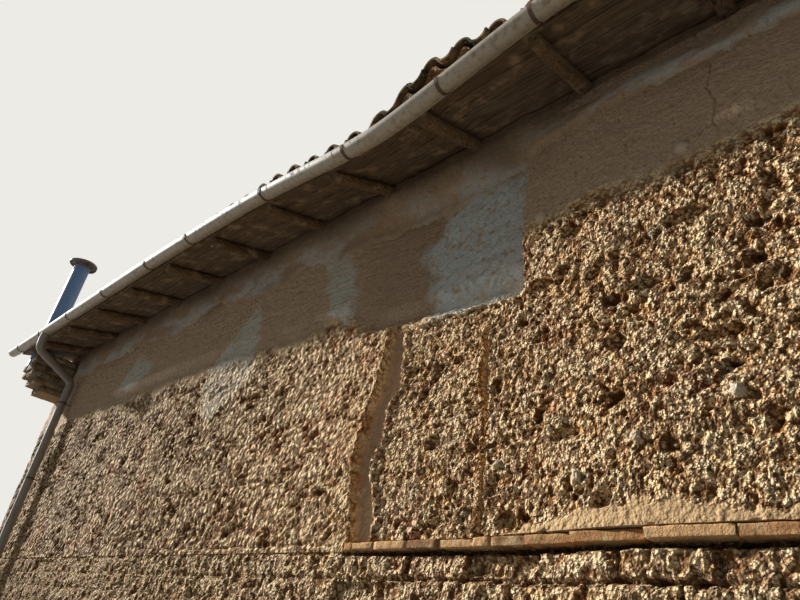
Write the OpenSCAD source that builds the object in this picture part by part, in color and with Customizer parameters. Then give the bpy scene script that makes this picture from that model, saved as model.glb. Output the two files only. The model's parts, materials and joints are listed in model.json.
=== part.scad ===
// Adobe and rammed-earth house with a barrel-tile gable roof, at its real size in millimetres.
// X runs along the eaves, -Y is the long front, +Z is up, and the ground is z = 0.

/* [Walls] */
// Length of the house along the eaves, between the outer faces of the end walls
body_l = 11500; // [11300:50:11900]
// Depth of the house, between the outer faces of the long walls
body_d = 6400; // [6000:100:7200]
// Thickness of the earth walls
wall_t = 550; // [500:10:600]
// Height of the stone plinth above the ground
plinth_h = 450; // [350:10:600]
// How far the plinth stands out from the walls
plinth_out = 40; // [20:5:60]
// Height at which the adobe blocks end and the brick string course lies
course_z = 2155; // [2100:5:2250]
// Thickness of the bricks in the string course
brick_h = 48; // [40:1:60]
// How far the string course stands out from the wall
brick_out = 35; // [20:1:60]

/* [Front panels] */
// Joint between the far and the middle panel of rammed earth
joint_far_x = -1750; // [-2200:50:-1000]
// Joint where the washed-out channel begins
joint_channel_x = 1340; // [1200:10:1400]
// Width of the washed-out channel
channel_w = 210; // [150:10:260]
// Depth of the washed-out channel
channel_deep = 60; // [30:5:90]
// Joint between the narrow panel and the near panel
joint_near_x = 2350; // [2300:10:2400]
// Upper edge of the near panel, which steps to the right above
step_x = 2590; // [2550:10:2650]
// Height at which the edge of the near panel steps to the right
step_z = 3560; // [3400:10:3700]
// How far the near panel stands out from the wall at its foot and head
near_out = 60; // [40:5:70]
// How much further it bulges out between them
near_bulge = 80; // [20:5:90]
// Height at which it bulges the most
bulge_z = 3900; // [3600:50:4200]
// Left edge of the hollow under the eave
hollow_x = 950; // [800:10:1200]
// Lower edge of the hollow under the eave
hollow_z = 3670; // [3600:10:3800]
// Depth of the hollow under the eave
hollow_deep = 150; // [100:5:160]
// Thickness of the grey lime coats
lime_t = 20; // [12:1:30]
// Mean height of the lower edge of the render under the eave
render_z = 4660; // [4600:10:4750]

/* [Roof] */
// Pitch of both roof slopes in degrees
roof_pitch = 15; // [14:0.5:17]
// Height of the underside of the roof boards at the outer wall face
board_z = 5070; // [5000:10:5150]
// Thickness of the roof boards
board_t = 22; // [18:1:30]
// Reach of the roof boards past the wall face, measured level
board_reach = 660; // [640:10:680]
// Reach of the tiles past the wall face, measured level
tile_reach = 700; // [690:5:720]
// Reach of the roof past the end walls
verge = 100; // [80:10:120]
// Diameter of the pole rafters
rafter_d = 95; // [80:1:110]
// Distance between rafters
rafter_pitch = 885; // [870:5:900]
// Place of the last rafter on the right
rafter_last_x = 4775; // [4700:5:4850]
// Number of rafters on each slope
rafter_count = 12; // [10:1:12]
// Reach of the rafter tails past the wall face, measured level
tail_reach = 620; // [590:10:630]
// Distance between the ridges of neighbouring cover tiles
tile_pitch = 245; // [240:1:255]
// Outer radius of a cover tile
cover_r = 82; // [75:1:88]
// Inner radius of a channel tile
channel_r = 76; // [70:1:80]
// Outer radius of a ridge tile
ridge_r = 108; // [100:1:120]
// Diameter of the ridge log
ridge_log_d = 220; // [180:5:260]

/* [Gutter and pipes] */
// Inside radius of the half-round gutter
gutter_r = 62; // [50:1:70]
// Thickness of the gutter sheet
gutter_t = 2; // [1.5:0.5:3]
// Radius of the rolled bead on the gutter's front edge
bead_r = 8; // [6:0.5:10]
// Distance of the gutter's middle line from the wall face
gutter_reach = 770; // [760:5:790]
// How far the gutter runs past the end walls
gutter_past = 130; // [120:5:160]
// Outer radius of the downpipe
pipe_r = 52; // [40:1:60]
// Thickness of the downpipe wall
pipe_t = 3; // [2:0.5:4]
// Bend radius of the downpipe elbows
elbow_r = 85; // [75:5:100]
// Distance of the downpipe's middle line from the wall face
pipe_reach = 105; // [95:5:130]

/* [Flue] */
// Outer radius of the flue pipe
flue_r = 120; // [80:5:125]
// Thickness of the flue pipe
flue_t = 3; // [2:0.5:5]
// Height of the top of the flue pipe
flue_top = 6500; // [6300:10:6700]
// Radius of the rain cap's rim
cap_r = 210; // [180:5:230]

/* [Door and window] */
// Middle of the door in the back wall
door_x = 1000; // [800:50:2500]
// Width of the door opening
door_w = 950; // [850:10:1100]
// Height of the top of the door opening
door_top = 2200; // [2160:10:2300]
// Middle of the window in the back wall
window_x = -2250; // [-4000:50:-1500]
// Width of the window opening
window_w = 600; // [500:10:800]
// Height of the window opening's sill
window_sill = 1350; // [1100:10:1400]
// Height of the window opening's head
window_head = 2000; // [1900:10:2010]

/* [Hidden] */
$fn = 48;

half_l = body_l / 2;
half_d = body_d / 2;
inner_d = half_d - wall_t;
roof_l = body_l + 2 * verge;
tile_columns = floor(roof_l / tile_pitch);
first_channel_x = -(tile_columns - 1) * tile_pitch / 2;
hinge_out = 30;
rise = tan(roof_pitch);
rafter_r = rafter_d / 2;
rafter_let_in = 10;
fill_gap = 12;
plate_w = 160;
plate_h = 140;
plate_y = half_d - 280;
tie_w = 180;
tie_x = 1900;
tie_bearing = 250;
post_w = 160;
slope_run = half_d / cos(roof_pitch);
ridge_top_z = board_z + half_d * rise;
log_z = ridge_top_z - rafter_d / cos(roof_pitch) - ridge_log_d / 2 / cos(roof_pitch) + 8;
plate_top = underside(plate_y) - rafter_d / cos(roof_pitch) + rafter_let_in;
wall_h = plate_top - plate_h;
flue_x = -half_l + 100;
flue_y = -half_d - 460;
flue_foot = 4700;
log_end = half_l - 120;
gutter_y = half_d + gutter_reach;
outlet_x = -half_l + 1250;
downpipe_x = -half_l + 800;

// Height of the underside of the roof boards at a distance y from the ridge line
function underside(y) = board_z + (half_d - abs(y)) * rise;

// Wavy offset that roughens an edge: two sines of unlike wavelength
function ragged(x, swing) = swing * (0.6 * sin(x * 0.23) + 0.4 * sin(x * 0.71 + 50));

// Unit vector along v
function unit(v) = v / norm(v);

// Turns a shape that is built on the front to the back
module at_back() {
    rotate([0, 0, 180]) children();
}

// Extrudes an outline drawn in (y, z) along X between two places
module run_along_x(x0, x1) {
    translate([x0, 0, 0])
        rotate([90, 0, 90])
            linear_extrude(x1 - x0) children();
}

// Extrudes an outline drawn in (x, z) from face y0 inwards by depth
module run_inwards(y0, depth) {
    translate([0, y0 + depth, 0])
        rotate([90, 0, 0])
            linear_extrude(depth) children();
}

// Frame of the front slope: +Y climbs the slope from the wall face, z = 0 is the boards' underside
module on_slope() {
    translate([0, -half_d, board_z])
        rotate([roof_pitch, 0, 0]) children();
}

// Block given by its low and high corners
module block(low, high) {
    translate(low) cube(high - low);
}

// Stone ring under the walls, open at the door
module stone_plinth() {
    out = plinth_out;
    color("dimgray")
        difference() {
            block([-half_l, -half_d - out, 0], [half_l, half_d + out, plinth_h]);
            block([-half_l + wall_t, -inner_d, -1], [half_l - wall_t, inner_d, plinth_h + 1]);
            block([door_x - door_w / 2, 0, -1], [door_x + door_w / 2, body_d, plinth_h + 1]);
        }
}

// Worn stone across the foot of the doorway
module door_step() {
    color("gray")
        block([door_x - door_w / 2, inner_d, 0], [door_x + door_w / 2, half_d + plinth_out, 150]);
}

// Front wall of large adobe blocks up to the string course
module front_adobe_base() {
    color("peru")
        block([-half_l, -half_d, plinth_h], [half_l, -inner_d, course_z]);
}

// Back wall of adobe blocks, cut for the door, the window and the window's lintel
module back_adobe_base() {
    color("peru")
        difference() {
            block([-half_l, inner_d, plinth_h], [half_l, half_d, course_z]);
            door_hole();
            window_hole();
            window_lintel_seat(0);
        }
}

// Space of the doorway
module door_hole() {
    block([door_x - door_w / 2, inner_d - 1, 0], [door_x + door_w / 2, half_d + 1, door_top]);
}

// Space of the window
module window_hole() {
    block([window_x - window_w / 2, inner_d - 1, window_sill],
          [window_x + window_w / 2, half_d + 1, window_head]);
}

// Single course of flat bricks, on the near part of the front and along the back
module brick_string_courses() {
    gap_w = door_w / 2 + 200;
    color("tan") {
        string_bricks(joint_channel_x, joint_near_x, brick_out);
        string_bricks(joint_near_x, half_l, brick_out + near_out);
        at_back() {
            string_bricks(-half_l, -door_x - gap_w, brick_out);
            string_bricks(-door_x + gap_w, half_l, brick_out);
        }
    }
}

// One stretch of the string course, which stands out from the front face
module string_bricks(x0, x1, out) {
    block([x0, -half_d - out, course_z], [x1, -half_d + 115, course_z + brick_h]);
}

// Seat cut for the string course in the foot of the rammed earth
module string_seat(x0, x1) {
    block([x0 - 1, -half_d - 100, course_z - 1], [x1 + 1, -half_d + 115, course_z + brick_h]);
}

// Pocket in the top of a long wall for the end of a tie beam
module tie_pocket(x) {
    block([x - tie_w / 2, -inner_d - tie_bearing, wall_h - tie_w], [x + tie_w / 2, 0, wall_h + 1]);
}

// Far panel of rammed earth, from the left end to the first joint
module front_wall_far() {
    color("sienna")
        difference() {
            block([-half_l, -half_d, course_z], [joint_far_x, -inner_d, wall_h]);
            tie_pocket(-tie_x);
        }
}

// Middle panel, hollowed at its upper right corner
module front_wall_middle() {
    color("sienna")
        difference() {
            block([joint_far_x, -half_d, course_z], [joint_channel_x, -inner_d, wall_h]);
            eave_hollow();
        }
}

// Weathered hollow under the eave, with a sloping foot
module eave_hollow() {
    slant = 160;
    run_inwards(-half_d - 200, 200 + hollow_deep)
        polygon([
            [hollow_x + slant, hollow_z], [step_x, hollow_z - 110], [step_x, render_z],
            [hollow_x, render_z], [hollow_x, hollow_z + slant]
        ]);
}

// Narrow panel between the washed-out channel and the near joint
module front_wall_pier() {
    mouth = channel_w / 2;
    color("sienna")
        difference() {
            block([joint_channel_x, -half_d, course_z], [joint_near_x, -inner_d, wall_h]);
            eave_hollow();
            string_seat(joint_channel_x, joint_near_x);
            tie_pocket(tie_x);
            translate([joint_channel_x + mouth, -half_d, course_z - 1])
                linear_extrude(hollow_z - course_z + 40)
                    intersection() {
                        translate([0, channel_deep - mouth * 1.18]) circle(mouth * 1.18);
                        translate([-mouth, -mouth]) square([2 * mouth, 2 * mouth]);
                    }
        }
}

// Near panel, which stands proud of the rest and steps to the right above
module front_wall_near() {
    color("saddlebrown")
        difference() {
            union() {
                block([joint_near_x, -half_d, course_z], [half_l, -inner_d, wall_h]);
                intersection() {
                    run_inwards(-half_d - near_out - near_bulge, near_out + near_bulge + 1)
                        polygon([
                            [joint_near_x, course_z + brick_h], [half_l, course_z + brick_h],
                            [half_l, render_z], [step_x, render_z], [step_x, step_z],
                            [joint_near_x, step_z - 90]
                        ]);
                    run_along_x(joint_near_x, half_l)
                        polygon([
                            [-inner_d, course_z], [-half_d - near_out, course_z],
                            [-half_d - near_out - near_bulge, bulge_z],
                            [-half_d - near_out, render_z], [-inner_d, render_z]
                        ]);
                }
            }
            eave_hollow();
            string_seat(joint_near_x, half_l);
        }
}

// Grey lime coat on the back of the hollow, beside the near panel
module front_lime_patch() {
    patch_x = hollow_x + 700;
    face = -half_d + hollow_deep - lime_t;
    color("lightslategray")
        run_inwards(face, lime_t)
            polygon([
                [patch_x, hollow_z], [step_x, hollow_z - 60], [step_x, render_z],
                [patch_x + 60, render_z], [patch_x - 30, render_z - 420]
            ]);
}

// Render band under an eave: level top, ragged lower edge
module eave_render(x0, x1, swing) {
    step = 250;
    top = board_z - fill_gap - 10;
    count = floor((x1 - x0) / step);
    lower = [for (i = [0:count]) [x0 + i * (x1 - x0) / count, render_z + ragged(x0 + i * step, swing)]];
    run_inwards(-half_d - lime_t, lime_t)
        polygon(concat(lower, [[x1, top], [x0, top]]));
}

// Grey render over the top of the front wall, up to the boards between the rafters
module front_eave_render() {
    color("gray")
        difference() {
            union() {
                eave_render(-half_l, step_x, 120);
                eave_render(step_x, half_l, 25);
            }
            rafter_poles(rafter_count);
            block([-half_l - 1, -half_d - 900, 0], [-half_l + 430, -half_d + 1, board_z]);
            run_inwards(-half_d - 100, 200)
                translate([step_x, 0]) square([body_l, render_z]);
            eave_hollow();
        }
}

// The same render on the back
module back_eave_render() {
    color("gray")
        at_back()
            difference() {
                eave_render(-half_l, half_l, 60);
                rafter_poles(rafter_count);
            }
}

// Earth packed between the rafters on the top of a long wall
module eave_fill() {
    difference() {
        run_along_x(-half_l, half_l)
            polygon([
                [-half_d, wall_h], [-inner_d, wall_h],
                [-inner_d, underside(inner_d) - fill_gap], [-half_d, board_z - fill_gap]
            ]);
        wall_plate();
        rafter_poles(rafter_count);
    }
}

// Timber plate that the rafters sit on
module wall_plate() {
    block([-half_l + 120, -plate_y - plate_w / 2, wall_h],
          [half_l - 120, -plate_y + plate_w / 2, plate_top]);
}

module front_eave_fill() {
    color("burlywood") eave_fill();
}

module back_eave_fill() {
    color("burlywood") at_back() eave_fill();
}

// Left half of the back wall above the string course
module back_wall_window_side() {
    color("sienna")
        at_back()
            difference() {
                block([200, -half_d, course_z], [half_l, -inner_d, wall_h]);
                string_seat(200, half_l);
                tie_pocket(tie_x);
            }
}

// Right half of the back wall above the string course, cut for the door and its lintel
module back_wall_door_side() {
    color("sienna")
        difference() {
            at_back()
                difference() {
                    block([-half_l, -half_d, course_z], [200, -inner_d, wall_h]);
                    string_seat(-half_l, 200);
                    tie_pocket(-tie_x);
                }
            door_hole();
            door_lintel_block();
        }
}

// End wall: plain earth up to the roof boards, with a pocket for the ridge log
module party_wall() {
    color("rosybrown")
        difference() {
            run_along_x(-half_l, -half_l + wall_t)
                polygon([
                    [-inner_d, plinth_h], [inner_d, plinth_h],
                    [inner_d, underside(inner_d) - fill_gap], [0, ridge_top_z - fill_gap],
                    [-inner_d, underside(inner_d) - fill_gap]
                ]);
            translate([-log_end, 0, log_z])
                rotate([0, 90, 0]) cylinder(h = log_end, d = ridge_log_d);
        }
}

module left_party_wall() {
    party_wall();
}

module right_party_wall() {
    at_back() party_wall();
}

// Corbelled masonry under the left end of the front eave, notched at its corner for the flue's foot
module left_eave_corbel() {
    course_h = 110;
    reach = 590;
    top_z = underside(half_d + reach) - 14;
    color("tan")
        difference() {
            run_along_x(-half_l, -half_l + 430)
                polygon([
                    [-half_d, board_z - 14],
                    [-half_d - reach, top_z],
                    for (i = [0:3]) each [
                        [-half_d - reach * (1 - i / 4), top_z - 240 - i * course_h],
                        [-half_d - reach * (1 - (i + 1) / 4), top_z - 240 - i * course_h]
                    ]
                ]);
            block([-half_l - 1, -half_d - reach - 1, flue_foot],
                  [flue_x + flue_r, flue_y + flue_r, board_z]);
        }
}

// Block that the door lintel fills
module door_lintel_block() {
    block([door_x - door_w / 2 - 200, inner_d, door_top],
          [door_x + door_w / 2 + 200, half_d, door_top + 160]);
}

// Timber over the doorway
module door_lintel() {
    color("darkgoldenrod")
        door_lintel_block();
}

// Rebated timber frame in the doorway: two posts and a head
module door_frame() {
    post = 90;
    face = half_d - 160;
    color("saddlebrown")
        difference() {
            block([door_x - door_w / 2, face - 60, 150], [door_x + door_w / 2, face + 50, door_top]);
            block([door_x - door_w / 2 + post, face - 61, 149],
                  [door_x + door_w / 2 - post, face + 51, door_top - post]);
            block([door_x - door_w / 2 + post - 20, face - 1, 149],
                  [door_x + door_w / 2 - post + 20, face + 51, door_top - post + 20]);
        }
}

// Door of upright planks with ledges behind, shut in its frame
module door_leaf() {
    post = 90;
    planks = 6;
    low_x = door_x - door_w / 2 + post - 16;
    clear_w = door_w - 2 * post + 32;
    plank_w = clear_w / planks;
    face = half_d - 160;
    head = door_top - post + 16;
    color("sienna") {
        for (i = [0:planks - 1])
            block([low_x + i * plank_w + 1, face + 2, 160],
                  [low_x + (i + 1) * plank_w - 1, face + 34, head]);
        for (z = [360, 1080, 1800])
            block([low_x + 30, face - 28, z], [low_x + clear_w - 30, face + 2, z + 120]);
    }
}

// Space that the window lintel fills, with an optional margin
module window_lintel_seat(margin) {
    block([window_x - window_w / 2 - 180 - margin, inner_d, window_head],
          [window_x + window_w / 2 + 180 + margin, half_d, window_head + 120]);
}

// Timber over the window
module window_lintel() {
    color("darkgoldenrod")
        window_lintel_seat(0);
}

// Timber frame round the window, with a sill that slopes out
module window_frame() {
    bar = 60;
    face = half_d - 120;
    color("saddlebrown")
        difference() {
            block([window_x - window_w / 2, face - 50, window_sill],
                  [window_x + window_w / 2, face + 40, window_head]);
            block([window_x - window_w / 2 + bar, face - 51, window_sill + bar],
                  [window_x + window_w / 2 - bar, face + 41, window_head - bar]);
        }
}

// Pair of plank shutters, shut between the frame's bars
module window_shutter() {
    bar = 60;
    leaf_w = (window_w - 2 * bar) / 2;
    face = half_d - 120;
    color("sienna")
        for (side = [-1, 1]) {
            low_x = side < 0 ? window_x - leaf_w + 2 : window_x + 1;
            block([low_x, face - 8, window_sill + bar + 2],
                  [low_x + leaf_w - 3, face + 18, window_head - bar - 2]);
            for (z = [window_sill + 130, window_head - 190])
                block([low_x + 20, face - 30, z], [low_x + leaf_w - 23, face - 8, z + 60]);
        }
}

// One timber plate on each long wall
module wall_plates() {
    color("peru") {
        wall_plate();
        at_back() wall_plate();
    }
}

// Round log under the ridge, borne by the end walls and the trusses
module ridge_log() {
    color("peru")
        translate([-log_end, 0, log_z])
            rotate([0, 90, 0]) cylinder(h = 2 * log_end, d = ridge_log_d);
}

// Two tie beams with a king post under the ridge log
module roof_trusses() {
    reach = inner_d + tie_bearing;
    color("peru")
        for (x = [-tie_x, tie_x])
            difference() {
                union() {
                    block([x - tie_w / 2, -reach, wall_h - tie_w], [x + tie_w / 2, reach, wall_h]);
                    block([x - post_w / 2, -post_w / 2, wall_h - 1], [x + post_w / 2, post_w / 2, log_z]);
                }
                translate([-log_end, 0, log_z])
                    rotate([0, 90, 0]) cylinder(h = 2 * log_end, d = ridge_log_d);
            }
}

// Pole up the slope, from its tail to past the ridge line
module rafter_pole(x) {
    on_slope()
        translate([x, -tail_reach / cos(roof_pitch), -rafter_r])
            rotate([-90, 0, 0])
                cylinder(h = tail_reach / cos(roof_pitch) + slope_run + 60, r = rafter_r);
}

// Row of poles of one slope
module rafter_poles(count) {
    for (i = [0:count - 1]) rafter_pole(rafter_last_x - i * rafter_pitch);
}

// Rafters of one slope, cut plumb at the ridge and let into the ridge log
module rafters() {
    difference() {
        rafter_poles(rafter_count);
        block([-half_l, -1, 0], [half_l, 200, 2 * board_z]);
        translate([-half_l, 0, log_z])
            rotate([0, 90, 0]) cylinder(h = body_l, d = ridge_log_d);
        wall_plate();
    }
}

// Front rafters, whose tails have cracked at the wall's face and sunk where the eave sags
module front_rafters() {
    color("peru") {
        difference() {
            rafters();
            sunken_space();
        }
        for (i = [0:rafter_count - 1]) {
            x = rafter_last_x - i * rafter_pitch;
            if (x > sunken_from && x < sunken_to)
                turned_down(max(tilt_at(column_at(x - rafter_r)), tilt_at(column_at(x + rafter_r))),
                            x - rafter_d, x + rafter_d)
                    rafter_pole(x);
        }
    }
}

module back_rafters() {
    color("peru") at_back() rafters();
}

// Depth to which the front eave has sunk at the tiles' lower edge, at places along it
sunken_line = [
    [-1470, 0], [-440, 28], [470, 50], [1010, 122], [1430, 175], [1750, 185], [2000, 110], [2300, 0]
];

// Middle lines of the cover tiles that have sunk
sunken_columns = [
    for (i = [1:tile_columns - 1])
        let (x = first_channel_x + (i - 0.5) * tile_pitch)
            if (x > sunken_line[0][0] && x < sunken_line[len(sunken_line) - 1][0]) x
];
sunken_from = sunken_columns[0] - tile_pitch / 2;
sunken_to = sunken_columns[len(sunken_columns) - 1] + tile_pitch / 2;

// Middle line of the cover tile nearest to x
function column_at(x) =
    sunken_columns[0] + round((x - sunken_columns[0]) / tile_pitch) * tile_pitch;

// Angle by which the eave is turned down at x, from the depth and the tiles' run beyond the wall
function tilt_at(x) = atan(rise + along(sunken_line, x) / (tile_reach - hinge_out)) - roof_pitch;

// Length of slope that reaches that far from the wall when it is turned down by tilt
function slope_reach(reach, tilt) =
    hinge_out / cos(roof_pitch) + (reach - hinge_out) / cos(roof_pitch + tilt);

// Space beyond the wall along the sunken stretch, out of which the straight roof is cut
module sunken_space() {
    block([sunken_from, -half_d - 1200, 0], [sunken_to, -half_d - hinge_out, 2 * board_z]);
}

// Turns part of the eave down about the wall's face, and cuts it plumb there and at both sides
module turned_down(tilt, x0, x1) {
    gap = 1;
    intersection() {
        translate([0, -half_d - hinge_out, board_z])
            rotate([tilt, 0, 0])
                translate([0, half_d + hinge_out, -board_z]) children();
        block([x0 + gap, -half_d - 1200, 0], [x1 - gap, -half_d - hinge_out - gap, 2 * board_z]);
    }
}

// Hole that the flue pipe leaves in the roof
module flue_hole(margin) {
    translate([flue_x, flue_y, flue_foot]) cylinder(h = 1000, r = flue_r + margin);
}

// Boarded deck of one slope between two places along it, cut plumb at the eave and the ridge
module roof_boards(x0, x1, eave_reach) {
    reach = half_d + eave_reach;
    top = board_t / cos(roof_pitch);
    run_along_x(x0, x1)
        polygon([
            [-reach, underside(reach)], [-0.5, ridge_top_z],
            [-0.5, ridge_top_z + top], [-reach, underside(reach) + top]
        ]);
}

// Front deck, which follows the sunken eave column by column of the tiles on it
module front_roof_boards() {
    color("rosybrown") {
        difference() {
            roof_boards(-roof_l / 2, roof_l / 2, board_reach);
            flue_hole(2);
            sunken_space();
        }
        for (x = sunken_columns) {
            x0 = x - tile_pitch / 2;
            x1 = x + tile_pitch / 2;
            turned_down(tilt_at(x), x0, x1)
                roof_boards(x0, x1, slope_reach(board_reach, tilt_at(x)) * cos(roof_pitch));
        }
    }
}

module back_roof_boards() {
    color("rosybrown") at_back() roof_boards(-roof_l / 2, roof_l / 2, board_reach);
}

// Cross-section of the tiling from one place to another: cover tiles over mortar, and hollow channels
module tile_profile(from, to) {
    bed_top = board_t + 62;
    cover_z = board_t + 43;
    channel_z = board_t + 16 + channel_r + 10;
    difference() {
        union() {
            translate([from, board_t]) square([to - from, bed_top - board_t]);
            for (i = [0:tile_columns]) {
                x = first_channel_x + (i - 0.5) * tile_pitch;
                if (x > from - cover_r && x < to + cover_r) translate([x, cover_z]) circle(cover_r);
            }
        }
        for (i = [0:tile_columns - 1]) {
            x = first_channel_x + i * tile_pitch;
            if (x > from - channel_r && x < to + channel_r) translate([x, channel_z]) circle(channel_r);
        }
        translate([from - 300, -200]) square([to - from + 600, 200 + board_t]);
        translate([to, 0]) square([300, 300]);
        translate([from - 300, 0]) square([300, 300]);
    }
}

// Tiling between two places along the slope, from low below the wall's face to high above it
module tiles(from, to, low, high) {
    on_slope()
        translate([0, high, 0])
            rotate([90, 0, 0])
                linear_extrude(low + high) tile_profile(from, to);
}

// Tiling of one whole slope, to just short of the ridge
module tiled_slope() {
    tiles(-roof_l / 2, roof_l / 2, tile_reach / cos(roof_pitch), slope_run - 32);
}

// Front tiling, which steps down with the sunken eave, one column at a time
module front_tiles() {
    color("chocolate") {
        difference() {
            tiled_slope();
            flue_hole(2);
            sunken_space();
        }
        for (x = sunken_columns) {
            x0 = x - tile_pitch / 2;
            x1 = x + tile_pitch / 2;
            turned_down(tilt_at(x), x0, x1) tiles(x0, x1, slope_reach(tile_reach, tilt_at(x)), 40);
        }
    }
}

module back_tiles() {
    color("chocolate") at_back() tiled_slope();
}

// Row of half-round ridge tiles on a mortar bed that fills the gap between the slopes
module ridge_tiles() {
    crest = board_t + 43 + cover_r;
    foot_z = underside(ridge_r) + crest / cos(roof_pitch) + 2;
    bed_low = underside(33) + board_t / cos(roof_pitch) + 4;
    color("chocolate")
        run_along_x(-roof_l / 2, roof_l / 2)
            union() {
                difference() {
                    translate([0, foot_z]) circle(ridge_r);
                    translate([-200, foot_z - 200]) square([400, 200]);
                }
                polygon([[-29, bed_low], [29, bed_low], [62, foot_z], [-62, foot_z]]);
            }
}

// Rim height of the front gutter at its joints, where the fixings have let it sag
gutter_line = [
    [-half_l - gutter_past, 4880], [-2700, 4888], [450, 4822], [1470, 4688],
    [1950, 4668], [3120, 4890], [half_l + gutter_past, 4900]
];

// Outline of the gutter sheet with the rolled bead on its outer edge
module gutter_profile() {
    r_out = gutter_r + gutter_t;
    difference() {
        circle(r_out);
        circle(gutter_r);
        translate([-2 * r_out, 0]) square(4 * r_out);
    }
    translate([-r_out - bead_r + 3, -bead_r + 2]) circle(bead_r);
}

// One straight length of gutter between two joints given as [x, rim height], cut plumb at both
module gutter_length(from, to) {
    gap = 1;
    spare = 30;
    long = norm(to - from);
    angle = atan2(to[1] - from[1], to[0] - from[0]);
    intersection() {
        translate([from[0], -gutter_y, from[1]])
            rotate([0, -angle, 0])
                run_along_x(-spare, long + spare) gutter_profile();
        block([from[0] + gap, -gutter_y - 200, from[1] - 500],
              [to[0] - gap, -gutter_y + 200, from[1] + 500]);
    }
}

// Half-round plate that closes the end of a gutter, let in between its sides
module gutter_stop(x, rim) {
    translate([x, -gutter_y, rim])
        run_along_x(0, 3)
            difference() {
                circle(gutter_r - 0.3);
                translate([-200, -1]) square(400);
            }
}

// Row of straight gutter lengths with a stop at each end and a hole at the outlet
module gutter(line, outlet_z) {
    last = len(line) - 1;
    difference() {
        for (i = [0:last - 1]) gutter_length(line[i], line[i + 1]);
        translate([outlet_x, -gutter_y, outlet_z - 150]) cylinder(h = 150, r = pipe_r - pipe_t, $fn = 12);
    }
    gutter_stop(line[0][0] + 4, line[0][1]);
    gutter_stop(line[last][0] - 7, line[last][1]);
}

module front_gutter() {
    color("lightgray") gutter(gutter_line, 4860);
}

// Straight rim line of the back gutter
back_line = [[-half_l - gutter_past, 4875], [0, 4885], [half_l + gutter_past, 4895]];

module back_gutter() {
    color("lightgray") at_back() gutter(back_line, 4855);
}

// Value at a place x along a line that is given as [x, value] from left to right
function along(line, x, i = 0) =
    x <= line[i + 1][0] || i == len(line) - 2
        ? line[i][1] + (x - line[i][0]) * (line[i + 1][1] - line[i][1]) / (line[i + 1][0] - line[i][0])
        : along(line, x, i + 1);

// Strap round the underside of the gutter, with an arm up to the edge of the boards, here turned by tilt
module gutter_bracket(line, x, tilt) {
    width = 25;
    thick = 4;
    grip = 40;
    r_in = gutter_r + gutter_t + 0.5;
    rim = along(line, x);
    arm_y = gutter_y - r_in - thick;
    top = underside(half_d + hinge_out) - (board_reach - hinge_out) * tan(roof_pitch + tilt) + 8;
    run_along_x(x - width / 2, x + width / 2)
        union() {
            translate([-gutter_y, rim])
                difference() {
                    circle(r_in + thick);
                    circle(r_in);
                    translate([-200, 0]) square(400);
                    translate([-200, -30]) square([150, 60]);
                }
            translate([-arm_y - thick, rim - 1]) square([thick, max(top - rim, 6) + 1]);
            translate([-arm_y - thick, max(top, rim + 5) - thick])
                square([arm_y - half_d - board_reach + thick + grip, thick]);
        }
}

// Places of the straps on the front gutter
bracket_places = [-5500, -4650, -3700, -2650, -1580, -720, 520, 1560, 2420, 3090, 3990, 4870, 5600];

module front_gutter_brackets() {
    color("darkslategray")
        for (x = bracket_places)
            gutter_bracket(gutter_line, x, x > sunken_from && x < sunken_to ? tilt_at(column_at(x)) : 0);
}

module back_gutter_brackets() {
    color("darkslategray")
        at_back()
            for (x = bracket_places) gutter_bracket(back_line, x, 0);
}

// Round tube that follows a list of points, with an elbow fitting at each inner point
module pipe_run(points, r_out, r_in, bend) {
    last = len(points) - 1;
    gap = 0.5;
    for (i = [0:last - 1]) {
        a = unit(points[i + 1] - points[i]);
        start_cut = i == 0 ? 0 : elbow_cut(points, i, bend) + gap;
        end_cut = i == last - 1 ? 0 : elbow_cut(points, i + 1, bend) + gap;
        tube(points[i] + a * start_cut, points[i + 1] - a * end_cut, r_out, r_in);
    }
    for (i = [1:last - 1]) elbow(points, i, r_out, r_in, bend);
}

// Length that an elbow takes off the straight pipe on each side of point i
function elbow_cut(points, i, bend) = bend * tan(elbow_angle(points, i) / 2);

// Angle that the run turns through at point i
function elbow_angle(points, i) =
    acos(unit(points[i] - points[i - 1]) * unit(points[i + 1] - points[i]));

// Straight tube between two points
module tube(from, to, r_out, r_in) {
    v = to - from;
    long = norm(v);
    translate(from)
        rotate([0, acos(v[2] / long), atan2(v[1], v[0])])
            linear_extrude(long)
                difference() {
                    circle(r_out);
                    circle(r_in);
                }
}

// Bend at point i, swept in the plane of the two straight stretches that it joins
module elbow(points, i, r_out, r_in, bend) {
    a = unit(points[i] - points[i - 1]);
    b = unit(points[i + 1] - points[i]);
    turn = elbow_angle(points, i);
    inward = unit(b - (a * b) * a);
    axis = cross(-inward, a);
    start = points[i] - a * elbow_cut(points, i, bend);
    centre = start + inward * bend;
    multmatrix([
        [-inward[0], a[0], axis[0], centre[0]],
        [-inward[1], a[1], axis[1], centre[1]],
        [-inward[2], a[2], axis[2], centre[2]],
        [0, 0, 0, 1]
    ])
        rotate_extrude(angle = turn)
            translate([bend, 0])
                difference() {
                    circle(r_out);
                    circle(r_in);
                }
}

// Route of the rainwater pipe: drop from the gutter, offset back to the wall, down to a shoe
function pipe_route(rim) = [
    [outlet_x, -gutter_y, rim - 30],
    [outlet_x, -gutter_y, rim - 265],
    [downpipe_x, -half_d - pipe_reach, rim - 400],
    [downpipe_x, -half_d - pipe_reach, 230],
    [downpipe_x, -half_d - pipe_reach - 130, 120]
];

// Hollow rainwater pipe along its route, its top cut to saddle the underside of the gutter
module downpipe(rim) {
    difference() {
        pipe_run(pipe_route(rim), pipe_r, pipe_r - pipe_t, elbow_r);
        translate([outlet_x - 100, -gutter_y, rim])
            rotate([0, 90, 0]) cylinder(h = 200, r = gutter_r + gutter_t + 0.2);
    }
}

module front_downpipe() {
    color("silver") downpipe(4880);
}

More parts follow.
